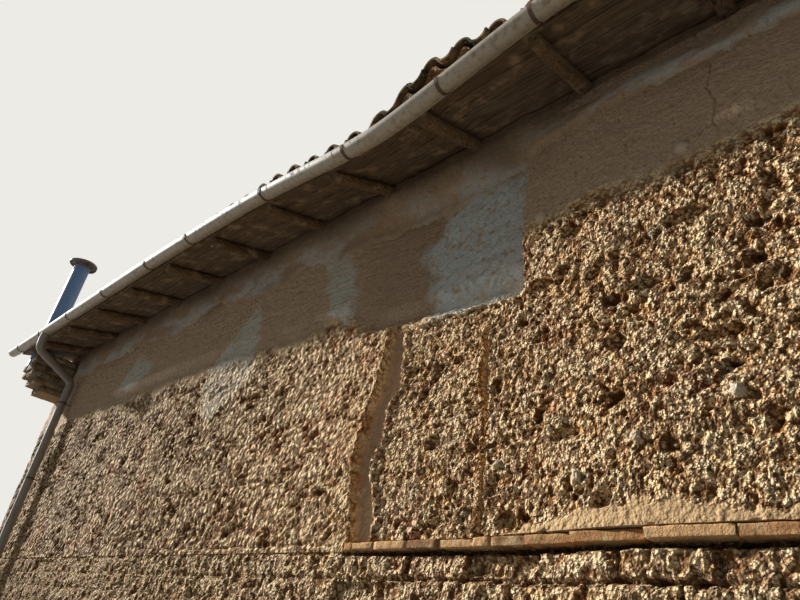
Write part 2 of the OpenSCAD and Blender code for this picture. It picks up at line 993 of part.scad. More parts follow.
module back_downpipe() {
    color("silver") at_back() downpipe(4875);
}

// Split ring with a pin into the wall
module pipe_clip(z) {
    clip_t = 3;
    translate([downpipe_x, -half_d - pipe_reach, z]) {
        difference() {
            cylinder(h = 25, r = pipe_r + clip_t);
            translate([0, 0, -1]) cylinder(h = 27, r = pipe_r);
        }
        translate([0, pipe_r + 1, 12])
            rotate([-90, 0, 0]) cylinder(h = pipe_reach - pipe_r - 1, r = 6);
    }
}

module downpipe_clips() {
    color("gray")
        for (z = [700, 2000, 3100, 4150]) {
            pipe_clip(z);
            at_back() pipe_clip(z);
        }
}

// Sheet-metal flue, set in the corbel and open under its cap
module flue_pipe() {
    color("slategray")
        translate([flue_x, flue_y, flue_foot])
            difference() {
                cylinder(h = flue_top - flue_foot, r = flue_r - 1);
                translate([0, 0, -1]) cylinder(h = flue_top - flue_foot + 2, r = flue_r - flue_t - 1);
            }
}

// Sloping collar that sheds rain off the flue onto the tiles
module flue_collar() {
    base = underside(flue_y) + 190;
    color("dimgray")
        translate([flue_x, flue_y, base])
            rotate_extrude()
                polygon([
                    [flue_r + 0.5, 0], [flue_r + 60, -22], [flue_r + 60, -26], [flue_r + 0.5, -4],
                    [flue_r + 0.5, -8], [flue_r - 1, -8], [flue_r - 1, 30], [flue_r + 3, 30]
                ]);
}

// Rain cap: flat cone with a turned-down rim, on three straps
module flue_cap() {
    clear = 70;
    rim_z = flue_top + clear;
    color("rosybrown")
        translate([flue_x, flue_y, 0]) {
            translate([0, 0, rim_z])
                rotate_extrude()
                    polygon([[0, 60], [cap_r, 0], [cap_r, -30], [cap_r - 3, -30], [cap_r - 3, -3], [0, 57]]);
            for (a = [30, 150, 270])
                rotate([0, 0, a])
                    translate([flue_r - 1, -12, flue_top - 80]) cube([4, 24, clear + 110]);
        }
}

stone_plinth();
door_step();
front_adobe_base();
back_adobe_base();
brick_string_courses();
front_wall_far();
front_wall_middle();
front_wall_pier();
front_wall_near();
front_lime_patch();
front_eave_render();
back_eave_render();
front_eave_fill();
back_eave_fill();
back_wall_window_side();
back_wall_door_side();
left_party_wall();
right_party_wall();
left_eave_corbel();
door_lintel();
door_frame();
door_leaf();
window_lintel();
window_frame();
window_shutter();
wall_plates();
ridge_log();
roof_trusses();
front_rafters();
back_rafters();
front_roof_boards();
back_roof_boards();
front_tiles();
back_tiles();
ridge_tiles();
front_gutter();
back_gutter();
front_gutter_brackets();
back_gutter_brackets();
front_downpipe();
back_downpipe();
downpipe_clips();
flue_pipe();
flue_collar();
flue_cap();
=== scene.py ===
"""Looks of a rammed-earth and adobe house under barrel tiles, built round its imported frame.

Lengths are metres in the frame's own axes: X runs along the eaves, -Y is the long front and +Z is up.
Surfaces are whole arrays: reliefs on a grid of two parameters, and outlines carried along paths.
"""

import json
import logging
import math
from collections.abc import Callable, Sequence
from dataclasses import dataclass, field
from enum import Enum

import bpy
import numpy as np
from mathutils import Matrix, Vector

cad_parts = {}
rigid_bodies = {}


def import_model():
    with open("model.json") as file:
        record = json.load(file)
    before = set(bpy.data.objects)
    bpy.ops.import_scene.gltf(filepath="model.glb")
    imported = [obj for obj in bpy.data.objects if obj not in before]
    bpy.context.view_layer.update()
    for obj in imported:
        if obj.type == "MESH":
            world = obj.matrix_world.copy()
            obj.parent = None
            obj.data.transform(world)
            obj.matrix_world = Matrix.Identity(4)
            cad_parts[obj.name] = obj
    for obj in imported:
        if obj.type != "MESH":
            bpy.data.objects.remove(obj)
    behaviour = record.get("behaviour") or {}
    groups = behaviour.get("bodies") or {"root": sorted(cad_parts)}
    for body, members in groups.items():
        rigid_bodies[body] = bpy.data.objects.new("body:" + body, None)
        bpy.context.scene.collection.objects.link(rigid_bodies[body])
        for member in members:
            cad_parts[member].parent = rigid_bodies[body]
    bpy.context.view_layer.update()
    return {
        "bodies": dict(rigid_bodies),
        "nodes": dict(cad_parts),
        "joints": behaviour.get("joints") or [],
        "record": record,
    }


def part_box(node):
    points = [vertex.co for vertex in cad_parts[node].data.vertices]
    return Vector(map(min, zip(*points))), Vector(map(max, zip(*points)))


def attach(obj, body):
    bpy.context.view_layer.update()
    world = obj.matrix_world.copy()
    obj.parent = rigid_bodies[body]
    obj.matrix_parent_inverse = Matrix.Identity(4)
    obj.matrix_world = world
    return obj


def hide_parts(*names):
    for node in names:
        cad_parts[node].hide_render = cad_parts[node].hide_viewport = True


log = logging.getLogger("house")
Array = np.ndarray
Marks = dict[str, Array]
Outline = tuple[tuple[float, float], ...]
Field = tuple[Array, Array, Marks]
Span = tuple[float, float]
Socket = bpy.types.NodeSocket
Material = bpy.types.Material
HASH_MASK = 0xFFFFFFFF
HASH_FACTORS = (374761393, 668265263, 974634777)
UNDER_BOARDS = 0.012


# Noise and masks on whole arrays


def lattice(ix: Array | int, iy: Array | int, salt: int) -> Array | float:
    """Hashes lattice points: the two integers and the salt are mixed by odd multipliers and shifts.

    Args:
        ix: First integer of each point.
        iy: Second integer of each point.
        salt: Number that makes one pattern unlike the next.

    Returns:
        A number from 0 to 1 for each point.
    """
    h = (ix * HASH_FACTORS[0] + iy * HASH_FACTORS[1] + salt * HASH_FACTORS[2]) & HASH_MASK
    h = ((h ^ (h >> 13)) * 1274126177) & HASH_MASK
    h = ((h ^ (h >> 16)) * 1103515245) & HASH_MASK
    return ((h ^ (h >> 15)) & 0xFFFFFF) / 0xFFFFFF


def smooth(x: Array, low: float | Array, high: float | Array) -> Array:
    """Step from 0 at low to 1 at high, by the cubic 3t2 - 2t3. It falls instead where low is the larger."""
    t = np.clip((x - low) / (high - low), 0, 1)
    return t * t * (3 - 2 * t)


def bell(away: Array, half: float) -> Array:
    """Bell curve: e to the power of minus the square of away over half."""
    return np.exp(-((away / half) ** 2))


def read_off(where: Array, table: Outline) -> Array:
    """Value at a place in a table of (place, value) rows, by straight lines between them."""
    return np.interp(where, *zip(*table))


def blend(low: float | Array, high: float | Array, share: Array) -> Array:
    """Mix of low and high: low where share is 0 and high where it is 1."""
    return low + (high - low) * share


def ripple(x: Array, y: Array, salt: int) -> Array:
    """Gradient noise: a slope in a hashed direction at each lattice corner, blended by a quintic.

    Args:
        x: First coordinate, in lattice steps.
        y: Second coordinate, in lattice steps.
        salt: Number of the pattern.

    Returns:
        Values of about -1 to 1.
    """
    x, y = np.broadcast_arrays(x, y)
    ix, iy = np.floor(x).astype(np.int64), np.floor(y).astype(np.int64)
    fx, fy = x - ix, y - iy
    u, v = (f**3 * (f * (6 * f - 15) + 10) for f in (fx, fy))
    corner = {}
    for dx, dy in ((0, 0), (0, 1), (1, 0), (1, 1)):
        turn = lattice(ix + dx, iy + dy, salt) * math.tau
        corner[dx, dy] = np.cos(turn) * (fx - dx) + np.sin(turn) * (fy - dy)
    lower = blend(corner[0, 0], corner[1, 0], u)
    upper = blend(corner[0, 1], corner[1, 1], u)
    return 1.5 * blend(lower, upper, v)


def layered(x: Array, y: Array, salt: int, layers: int = 3) -> Array:
    """Sum of ripples, each of half the size and half the swing of the one before."""
    return sum(ripple(x * 2**i, y * 2**i, salt + i) / 2**i for i in range(layers))


def waves(x: Array, per_metre: float, salt: int) -> Array:
    """Ripple along one line, with that many lattice steps to the metre."""
    return ripple(x * per_metre, x * 0, salt)


def uneven(x: Array, z: Array, per_metre: float, salt: int, layers: int = 3) -> Array:
    """Layered noise on a face, with as many lattice steps to the metre along it as up it."""
    return layered(x * per_metre, z * per_metre, salt, layers)


def ripple3(points: Array, size: float, salt: int) -> Array:
    """Noise in space: the mean of the ripples on the three coordinate planes, with features of that size."""
    x, y, z = np.moveaxis(points / size, -1, 0)
    return (ripple(x, y, salt) + ripple(y, z, salt + 1) + ripple(z, x, salt + 2)) / 1.7


def layered3(points: Array, size: float, salt: int) -> Array:
    """Noise in space of two sizes: the first, and one of a third of it at half the swing."""
    return ripple3(points, size, salt) + 0.5 * ripple3(points, size / 3, salt + 5)


def cells(x: Array, y: Array) -> tuple[Array, Array, list[tuple[int, int]]]:
    """Lattice cell of each point, and the steps to the nine cells round it."""
    near = [(dx, dy) for dx in (-1, 0, 1) for dy in (-1, 0, 1)]
    return np.floor(x).astype(np.int64), np.floor(y).astype(np.int64), near


def clods(
    x: Array, y: Array, pitch: float, salt: int, fill: float, stretch: float = 1.0
) -> tuple[Array, Array]:
    """Domes on a jittered lattice: each is r times the root of 1 - (d/r)^2 high, and the tallest one wins.

    Args:
        x: Place along the face.
        y: Place up the face.
        pitch: Distance between neighbouring domes.
        salt: Number of the pattern.
        fill: Share of the lattice cells that hold a dome.
        stretch: How much longer a dome is along y than along x.

    Returns:
        Height of the domes in units of the pitch, and a tint from 0 to 1 that is the dome's own.
    """
    gx, gy = x / pitch, y / (pitch * stretch)
    ix, iy, near = cells(gx, gy)
    best, tint = np.zeros(gx.shape), np.full(gx.shape, 0.5)
    for dx, dy in near:
        cx, cy = ix + dx, iy + dy
        r = 0.42 + 0.4 * lattice(cx, cy, salt + 2)
        lean = 0.75 + 0.6 * lattice(cx, cy, salt + 3)
        ex = (gx - cx - 0.15 - 0.7 * lattice(cx, cy, salt)) * lean
        ey = (gy - cy - 0.15 - 0.7 * lattice(cx, cy, salt + 1)) / lean
        there = lattice(cx, cy, salt + 4) < fill
        dome = r * np.sqrt(np.clip(1 - (ex**2 + ey**2) / r**2, 0, None)) * there
        tint = np.where(dome > best, lattice(cx, cy, salt + 5), tint)
        best = np.maximum(best, dome)
    return best, tint


def cracks(x: Array, y: Array, salt: int) -> tuple[Array, Array]:
    """Cells round hashed points of a jittered lattice.

    Args:
        x: Place along the face, in lattice steps.
        y: Place up the face, in lattice steps.
        salt: Number of the pattern.

    Returns:
        Distance to the cell's edge, as second-nearest less nearest point, and a tint that is the cell's own.
    """
    ix, iy, around = cells(x, y)
    near, far, tint = np.full(x.shape, 9.0), np.full(x.shape, 9.0), np.zeros(x.shape)
    for dx, dy in around:
        cx, cy = ix + dx, iy + dy
        ex = x - cx - 0.12 - 0.76 * lattice(cx, cy, salt)
        ey = y - cy - 0.12 - 0.76 * lattice(cx, cy, salt + 1)
        d = np.hypot(ex, ey)
        tint = np.where(d < near, lattice(cx, cy, salt + 2), tint)
        far = np.where(d < near, near, np.minimum(far, d))
        near = np.minimum(near, d)
    return far - near, tint


def inside(x: Array, z: Array, outline: Outline) -> Array:
    """Signed distance to the nearest edge of a closed outline, positive where a ray crosses it oddly."""
    nearest, odd = np.full(x.shape, 1e9), np.zeros(x.shape, bool)
    for (ax, az), (bx, bz) in zip(outline, outline[1:] + outline[:1]):
        ex, ez = bx - ax, bz - az
        t = np.clip(((x - ax) * ex + (z - az) * ez) / (ex * ex + ez * ez), 0, 1)
        nearest = np.minimum(nearest, np.hypot(x - ax - t * ex, z - az - t * ez))
        if az != bz:
            odd ^= ((az <= z) != (bz <= z)) & (x < ax + (z - az) / (bz - az) * ex)
    return np.where(odd, nearest, -nearest)


# Shapes


@dataclass
class Shape:
    """Surface before it is placed: points, arrays of faces of one size each, and numbers on the points."""

    points: Array
    faces: list[Array]
    marks: Marks = field(default_factory=dict)

    def turned(self, quarters: int) -> "Shape":
        """The shape turned about Z by that many quarter turns."""
        for _ in range(quarters % 4):
            self.points = self.points[:, (1, 0, 2)] * (-1, 1, 1)
        return self

    def tinted(self, tint: float) -> "Shape":
        """The shape with one tint all over."""
        self.marks = {"tint": np.full(len(self.points), tint)}
        return self


def joined(shapes: Sequence[Shape]) -> Shape:
    """One shape of many. A mark that a shape lacks is 0 on its points."""
    starts = np.cumsum([0] + [len(s.points) for s in shapes])
    keys = sorted({key for s in shapes for key in s.marks})
    marks = {
        key: np.concatenate([s.marks.get(key, np.zeros(len(s.points))) for s in shapes])
        for key in keys
    }
    faces = [f + start for s, start in zip(shapes, starts) for f in s.faces]
    return Shape(np.concatenate([s.points for s in shapes]), faces, marks)


def grid(rows: int, columns: int, closed: bool) -> Array:
    """Quads of a grid whose points are numbered row by row. Closed joins the last column to the first."""
    c = np.arange(columns if closed else columns - 1)
    r = np.arange(rows - 1)[:, None] * columns
    following = (c + 1) % columns
    return at(r + c, r + following, r + columns + following, r + columns + c).reshape(-1, 4)


def capped(rings: int, size: int) -> list[Array]:
    """Faces of a closed tube: its sides and both ends, on that many rings of size points each."""
    ring = np.arange(size)[None]
    return [grid(rings, size, closed=True), ring[:, ::-1], ring + (rings - 1) * size]


def repeated(faces: Sequence[Array], count: int, size: int) -> list[Array]:
    """Faces of many copies of one shape whose points follow each other, with size points to a copy."""
    starts = np.arange(count)[:, None, None] * size
    return [(f[None] + starts).reshape(-1, f.shape[1]) for f in faces]


def circle(turn: Array) -> Array:
    """Points of the unit circle at those angles."""
    return at(np.cos(turn), np.sin(turn))


def at(*parts: Array | float) -> Array:
    """Points from their coordinates, which are broadcast together."""
    return np.stack(np.broadcast_arrays(*parts), -1)


def run_length(path: Array) -> Array:
    """Length along a path up to each of its points."""
    return np.concatenate([[0], np.cumsum(np.linalg.norm(np.diff(path, axis=0), axis=1))])


def sweep(section: Array, path: Array, up: Sequence[float], caps: bool = True, flat: bool = False) -> Shape:
    """Closed outline carried along a path, square to it.

    Point (i, j) is path[j] + across[j] * section[i, 0] + over[j] * section[i, 1]. Across is square to up and
    to the path, and over is square to the path and to across.

    Args:
        section: Outline, counterclockwise, as (k, 2), or as (n, k, 2) where it changes along the path.
        path: Points that the outline follows, (n, 3).
        up: Direction that the outline's second axis leans to.
        caps: Whether both ends are closed.
        flat: Whether up is instead the direction of across, on a path that curls in the plane square to it.

    Returns:
        The swept surface.
    """
    ahead = np.gradient(path, axis=0)
    ahead /= np.linalg.norm(ahead, axis=1, keepdims=True)
    across = np.broadcast_to(np.array(up, float), path.shape) if flat else np.cross(up, ahead)
    across = across / np.linalg.norm(across, axis=1, keepdims=True)
    over = np.cross(ahead, across)
    section = np.broadcast_to(section, (len(path), *section.shape[-2:]))
    points = path[:, None] + across[:, None] * section[..., :1] + over[:, None] * section[..., 1:]
    faces = capped(*section.shape[:2])
    return Shape(points.reshape(-1, 3), faces if caps else faces[:1])


def tube(path: Array, outer: Array, inner: float, up: Sequence[float], sides: int = 28) -> Shape:
    """Hollow pipe along a path, both walls of which are joined by a ring at each end.

    Args:
        path: Middle line of the pipe, (n, 3).
        outer: Outer radius, one number or one for each point of the path.
        inner: Inner radius.
        up: Direction that the circle's second axis leans to.
        sides: Facets round the pipe.

    Returns:
        The pipe's surface.
    """
    n = len(path)
    unit = circle(np.linspace(0, math.tau, sides, endpoint=False))
    skin = sweep(unit * np.broadcast_to(outer, n)[:, None, None], path, up, caps=False)
    bore = sweep(unit * np.full(n, inner)[:, None, None], path, up, caps=False)
    bore.faces = [bore.faces[0][:, ::-1]]
    made = joined([skin, bore])
    here = np.arange(sides)
    there, start, last = (here + 1) % sides, n * sides, (n - 1) * sides
    made.faces.append(at(there, here, start + here, start + there))
    made.faces.append(at(last + here, last + there, start + last + there, start + last + here))
    return made


def oblong(width: float, height: float, round_off: float, steps: int = 2) -> Array:
    """Rectangle with round corners, counterclockwise: each corner is a quarter circle of that many steps."""
    turn = np.linspace(0, math.pi / 2, steps + 1)
    corners = []
    for q, (sx, sy) in enumerate(((1, 1), (-1, 1), (-1, -1), (1, -1))):
        centre = np.array([sx * (width / 2 - round_off), sy * (height / 2 - round_off)])
        corners.append(centre + round_off * circle(turn + q * math.pi / 2))
    return np.concatenate(corners)


def rounded(points: Sequence[Sequence[float]], radius: float, steps: int = 8) -> Array:
    """Path through straight stretches, with each inner corner turned into an arc of that radius.

    The arc starts radius * tan(half the angle) before the corner, and its points lie on a circle about the
    point that is radius / cos(half the angle) from the corner.
    """
    p = np.array(points, float)
    made = [p[0]]
    for a, b, c in zip(p[:-2], p[1:-1], p[2:]):
        into, out = (b - a) / np.linalg.norm(b - a), (c - b) / np.linalg.norm(c - b)
        turn = math.acos(np.clip(into @ out, -1, 1))
        towards = (out - into) / np.linalg.norm(out - into)
        centre = b + towards * radius / math.cos(turn / 2)
        start = b - into * radius * math.tan(turn / 2) - centre
        side = np.cross(np.cross(start, into), start)
        side *= np.linalg.norm(start) / np.linalg.norm(side)
        angle = np.linspace(0, turn, steps)[:, None]
        made += list(centre + start * np.cos(angle) + side * np.sin(angle))
    return np.array(made + [p[-1]])


def dense(path: Array, step: float) -> Array:
    """The same path with points no further apart than step, by straight interpolation along its length."""
    length = run_length(path)
    stations = np.unique(np.round(np.concatenate([length, np.arange(0, length[-1], step)]), 5))
    stations = stations[np.concatenate([[True], np.diff(stations) > step * 0.1])]
    return at(*(np.interp(stations, length, path[:, i]) for i in range(3)))


def block(facets: int) -> Shape:
    """Surface of a cube from -1 to 1 as a grid of that many facets a side, with shared edges."""
    t = np.linspace(-1, 1, facets + 1)
    u, v = (a.ravel() for a in np.meshgrid(t, t))
    sheets, quads = [], []
    for axis in range(3):
        for sign in (-1, 1):
            sheets.append(np.roll(at(u, v, sign), axis, axis=1))
            face = grid(facets + 1, facets + 1, closed=False)
            quads.append((face if sign > 0 else face[:, ::-1]) + (axis * 2 + (sign > 0)) * len(u))
    points, index = np.unique(np.round(np.concatenate(sheets), 6), axis=0, return_inverse=True)
    return Shape(points, [index.ravel()[np.concatenate(quads)]])


def lumps(low: Array, high: Array, round_off: float, rough: float, salt: int, facets: int = 4) -> Shape:
    """Rounded, uneven blocks: a cube's points on a box shrunk by round_off, pushed out again by as much.

    Args:
        low: Lowest corner of each block, (n, 3).
        high: Highest corner of each block, (n, 3).
        round_off: Radius of the edges.
        rough: How far noise moves the surface.
        salt: Number of the pattern.
        facets: Grid cells along each edge.

    Returns:
        All blocks as one shape, with a tint for each.
    """
    cube = block(facets)
    low, high = np.atleast_2d(low)[:, None], np.atleast_2d(high)[:, None]
    half = (high - low) / 2
    local = cube.points[None] * half
    reach = np.minimum(round_off, half)
    core = np.clip(local, reach - half, half - reach)
    away = local - core
    away /= np.maximum(np.linalg.norm(away, axis=2, keepdims=True), 1e-9)
    points = (low + high) / 2 + core + away * reach
    points += away * (rough * layered3(points, 0.06, salt))[..., None]
    tint = lattice(np.arange(len(low)), np.full(len(low), 7), salt)
    count, size = points.shape[:2]
    return Shape(points.reshape(-1, 3), repeated(cube.faces, count, size), {"tint": np.repeat(tint, size)})


# Finishes


def linear(code: str) -> tuple[float, float, float, float]:
    """Colour for a socket from an sRGB code such as #A0B0C0, by the sRGB curve."""
    parts = [int(code[i : i + 2], 16) / 255 for i in (1, 3, 5)]
    r, g, b = (c / 12.92 if c <= 0.04045 else ((c + 0.055) / 1.055) ** 2.4 for c in parts)
    return r, g, b, 1.0


def per_mm(size: float) -> float:
    """Texture scale at which a pattern's features are that many millimetres apart."""
    return 1000 / size


class Graph:
    """Node tree of one material, with its shader and the coordinates that its patterns read."""

    def __init__(self, name: str, roughness: float, specular: float) -> None:
        """Makes the material and sets what is the same all over it.

        Args:
            name: Name of the real material.
            roughness: Roughness of the surface.
            specular: Strength of its reflections, 0.5 being an IOR of 1.5.
        """
        self.material = bpy.data.materials.new(name)
        self.material.use_nodes = True
        self.tree = self.material.node_tree
        self.shader = self.tree.nodes["Principled BSDF"]
        self.shader.inputs["Roughness"].default_value = roughness
        self.shader.inputs["Specular IOR Level"].default_value = specular
        self.place = self.add("TexCoord").outputs["Object"]

    def add(self, kind: str, wires: dict | None = None, **settings: object) -> bpy.types.Node:
        """Adds a node, sets its settings, and gives each named socket a value or links it to an output."""
        node = self.tree.nodes.new("ShaderNode" + kind)
        for key, value in settings.items():
            setattr(node, key, value)
        for key, value in (wires or {}).items():
            if isinstance(value, bpy.types.NodeSocket):
                self.tree.links.new(value, node.inputs[key])
            else:
                node.inputs[key].default_value = value
        return node

    def mixed(self, low: Socket | str, high: Socket | str, share: Socket, kind: str = "MIX") -> Socket:
        """Colour that goes from low to high as share goes from 0 to 1. Codes are turned to linear colour."""
        low, high = (linear(c) if isinstance(c, str) else c for c in (low, high))
        node = self.add("Mix", {0: share, 6: low, 7: high}, data_type="RGBA", blend_type=kind)
        return node.outputs[2]

    def painted(self, colour: Socket | str, *coats: tuple[Socket | str, Socket]) -> Socket:
        """The colour under coats, each of a colour of its own and the share of it that shows."""
        for tone, share in coats:
            colour = self.mixed(colour, tone, share)
        return colour

    def noise(self, size_mm: float, low: float, high: float, detail: float = 3, **more: Socket) -> Socket:
        """Noise with features of that size, stretched so that low becomes 0 and high becomes 1."""
        wires = {"Vector": more.get("vector", self.place), "Scale": per_mm(size_mm), "Detail": detail}
        node = self.add("TexNoise", wires | {"Roughness": 0.6})
        return self.share(node.outputs["Fac"], low, high)

    def share(self, value: Socket, low: float, high: float, to: float = 1.0) -> Socket:
        """The value stretched smoothly so that low becomes 0 and high becomes to."""
        wires = {"Value": value, "From Min": low, "From Max": high, "To Min": 0.0, "To Max": to}
        return self.add("MapRange", wires, interpolation_type="SMOOTHSTEP").outputs[0]

    def mark(self, name: str) -> Socket:
        """Number that the mesh carries on its points under that name."""
        return self.add("Attribute", attribute_name=name).outputs["Fac"]

    def times(self, *factors: Socket | float) -> Socket:
        """Product of numbers, worked out from the last pair to the first."""
        *first, product = factors
        for factor in reversed(first):
            product = self.add("Math", {0: factor, 1: product}, operation="MULTIPLY").outputs[0]
        return product

    def bump(
        self, height: Socket, depth_mm: float, below: Socket | None = None, strength: Socket | float = 1.0
    ) -> Socket:
        """Normal bent by a height from 0 to 1 that stands for so many millimetres, on another bump."""
        wires = {"Height": height, "Distance": depth_mm / 1000, "Strength": strength}
        if below is not None:
            wires["Normal"] = below
        return self.add("Bump", wires).outputs["Normal"]

    def done(
        self, colour: Socket, normal: Socket | None = None, roughness: Socket | None = None
    ) -> Material:
        """Links colour, normal and roughness to the shader and returns the material."""
        for key, value in (("Base Color", colour), ("Normal", normal), ("Roughness", roughness)):
            if value is not None:
                self.tree.links.new(value, self.shader.inputs[key])
        return self.material


@dataclass(frozen=True)
class EarthFinish:
    """Bare earth full of gravel: matt, with painted highlights where grains stand out and painted shade in
    the pits and gaps, patched with lime.
    """

    name: str
    # Painted highlight colour of raised clods and grain tops, also used for pale flecks.
    top: str = "#FADDAD"
    body: str = "#D59E61"
    # Painted shade colour of the gaps between grains, the low parts of the relief and the pits.
    hollow: str = "#4C2A0C"
    rosy: str = "#C98A5D"
    ashen: str = "#C6AA80"
    bleached: str = "#8D7352"
    # Partly painted shade: greyer, bluer tone of the calm faces, which lie mostly in the eave's shadow, and
    # partly their own less weathered colour.
    sheltered: str = "#B89E84"
    lime: str = "#C7C4B3"
    mortar: str = "#BA9A70"
    # Darkening that is partly dirt and partly painted shade.
    grime: str = "#33261B"
    grain_mm: float = 28.0
    far_grain_mm: float = 48.0
    grain_rise_mm: float = 11.0
    grit_mm: float = 14.0
    far_grit_mm: float = 30.0
    grit_rise_mm: float = 8.0
    dust_rise_mm: float = 2.5
    patch_mm: float = 420.0
    fleck_mm: float = 34.0
    pit_mm: float = 18.0
    shadow: float = 0.8

    def by_distance(self, g: Graph, near: Socket, far: Socket) -> Socket:
        """The near number on the near part of the wall and the far one on the bleached part."""
        return g.add("Mix", {0: g.share(g.mark("bleached"), 0.05, 0.6), 2: near, 3: far}).outputs[0]

    def grains(self, g: Graph) -> tuple[Socket, Socket]:
        """Domes of gravel, of which a third have dropped out.

        Returns:
            Height of the grains from 0 to 1, and a number that is each grain's own.
        """
        bent = g.add("TexNoise", {"Vector": g.place, "Scale": per_mm(self.grain_mm * 1.5), "Detail": 1.0})
        bend = {0: bent.outputs["Color"], "Scale": self.grain_mm / 2500}
        shifted = g.add("VectorMath", bend, operation="SCALE").outputs[0]
        where = g.add("VectorMath", {0: g.place, 1: shifted}, operation="ADD").outputs[0]
        domes = []
        for size in (self.grain_mm, self.far_grain_mm):
            stones = g.add("TexVoronoi", {"Vector": where, "Scale": per_mm(size)})
            dice = g.add("SeparateColor", {0: stones.outputs["Color"]})
            dome = g.share(stones.outputs["Distance"], 0.80, 0.18)
            domes.append(g.times(dome, g.share(dice.outputs[0], 0.10, 0.35)))
        return self.by_distance(g, *domes), dice.outputs[1]

    def grit(self, g: Graph) -> tuple[Socket, Socket]:
        """Distance to the middle of the nearest bit of grit, and how far the gap between bits is open."""
        sizes = (self.grit_mm, self.far_grit_mm)
        away = [
            g.add("TexVoronoi", {"Vector": g.place, "Scale": per_mm(size)}).outputs["Distance"]
            for size in sizes
        ]
        gaps = g.share(away[0], 0.50, 0.80), g.share(away[1], 0.38, 0.68)
        return self.by_distance(g, *away), self.by_distance(g, *gaps)

    def material(self) -> Material:
        """Colour follows the height and tint marks, patches and the grains, which are also the bump."""
        g = Graph(self.name, roughness=0.95, specular=0.12)
        height, tint, rough = g.mark("height"), g.mark("tint"), g.mark("rough")
        grain, dice = self.grains(g)
        grit, gaps = self.grit(g)
        coat = g.mixed(self.lime, self.ashen, g.noise(110, 0.5, 0.8))
        colour = g.painted(
            self.body,
            (self.bleached, g.mark("bleached")),
            (self.rosy, g.noise(self.patch_mm, 0.50, 0.66)),
            (self.ashen, g.noise(self.patch_mm / 3, 0.52, 0.66)),
            (self.rosy, g.share(tint, 0.2, 0.0, 0.5)),
            # Painted highlight: raised clods and grain tops are paler.
            (self.top, g.times(g.share(height, 0.35, 0.85), g.share(tint, -0.4, 0.7))),
            (self.top, g.times(g.share(grain, 0.2, 0.8), rough, g.share(dice, -0.4, 0.7))),
            # Painted shade: darker between grains, in the grit's gaps and in the low parts of the relief.
            (self.hollow, g.times(g.share(grain, 0.28, 0.0), rough, self.shadow)),
            (self.hollow, g.times(gaps, rough, self.shadow)),
            (self.hollow, g.share(height, 0.36, 0.0, 0.9)),
            # Partly painted shade: the calm faces, mostly in the eave's shadow, take a greyer, bluer tone.
            (self.sheltered, g.share(rough, 0.62, 0.40, 0.8)),
            # Painted shade: dark dots for pits on the calm faces.
            (self.hollow, g.times(g.noise(self.pit_mm, 0.60, 0.70), g.share(rough, 0.6, 0.3, 0.55))),
            (self.top, g.times(g.noise(self.fleck_mm, 0.68, 0.72), g.share(rough, 0.6, 0.3, 0.35))),
            (coat, g.times(g.times(g.mark("lime"), g.noise(60, 0.25, 0.5)), g.share(rough, 0.95, 0.3))),
            (self.mortar, g.mark("mortar")),
            # This mark is partly dirt and partly painted shade: in recesses, under the brick course and on
            # the wall ends.
            (self.grime, g.times(g.mark("grime"), 0.75)),
        )
        normal = g.bump(grain, self.grain_rise_mm, strength=g.mark("grainy"))
        normal = g.bump(g.share(grit, 0.8, 0.1), self.grit_rise_mm, normal, strength=rough)
        normal = g.bump(g.noise(self.grain_mm / 2, 0.2, 0.8, detail=5), self.dust_rise_mm, normal)
        return g.done(colour, normal)


@dataclass(frozen=True)
class TimberFinish:
    """Old unplaned timber: grey-brown, dull, with long grain, dark checks and a dust of earth on it."""

    name: str
    pale: str = "#8A7255"
    dark: str = "#4C3826"
    dust: str = "#9C8468"
    check: str = "#241911"
    grain_axis: int = 0
    grain_mm: float = 7.0
    squeeze: float = 0.04

    def material(self) -> Material:
        """Noise drawn out along the grain gives fibres and checks, and a tint sets each stick apart."""
        g = Graph(self.name, roughness=0.85, specular=0.2)
        stretch = [1.0, 1.0, 1.0]
        stretch[self.grain_axis] = self.squeeze
        along = g.add("Mapping", {"Vector": g.place, "Scale": stretch}).outputs["Vector"]
        fibres = g.noise(self.grain_mm, 0.3, 0.7, detail=5, vector=along)
        checks = g.noise(self.grain_mm * 3, 0.62, 0.7, detail=2, vector=along)
        colour = g.painted(
            g.mixed(self.dark, self.pale, fibres),
            (self.dark, g.share(g.mark("tint"), 0.5, 1.0, 0.5)),
            (self.dust, g.noise(160, 0.5, 0.72)),
            (self.check, g.times(checks, 0.7)),
        )
        normal = g.bump(g.share(checks, 1.0, 0.0), 2.5, g.bump(fibres, 1.2))
        return g.done(colour, normal)


@dataclass(frozen=True)
class TileFinish:
    """Hand-made clay tile: dull orange to brown by the tile, and blotched with pale and black lichen."""

    name: str
    clay: str = "#866648"
    pale: str = "#9F8460"
    burnt: str = "#543E2D"
    moss: str = "#37331F"
    lichen: str = "#918C74"

    def material(self) -> Material:
        """The tint mark picks each tile's tone, and thresholds of noise lay the lichen on."""
        g = Graph(self.name, roughness=0.9, specular=0.2)
        tint = g.mark("tint")
        colour = g.painted(
            self.clay,
            (self.pale, g.share(tint, 0.55, 1.0)),
            (self.burnt, g.share(tint, 0.35, 0.0)),
            (self.burnt, g.noise(90, 0.5, 0.75)),
            (self.moss, g.noise(140, 0.44, 0.58, detail=6)),
            (self.lichen, g.noise(38, 0.58, 0.64, detail=5)),
        )
        return g.done(colour, g.bump(g.noise(12, 0.2, 0.8, detail=5), 2.5))


class Weathering(Enum):
    """How a smooth coat has aged: colour of the soil on it, and the noise at which it starts and is full."""

    DUSTY = ("#8B7A62", 0.46, 0.72)
    RUSTED = ("#6A4128", 0.40, 0.60)
    STREAKED = ("#5F6B78", 0.5, 0.8)


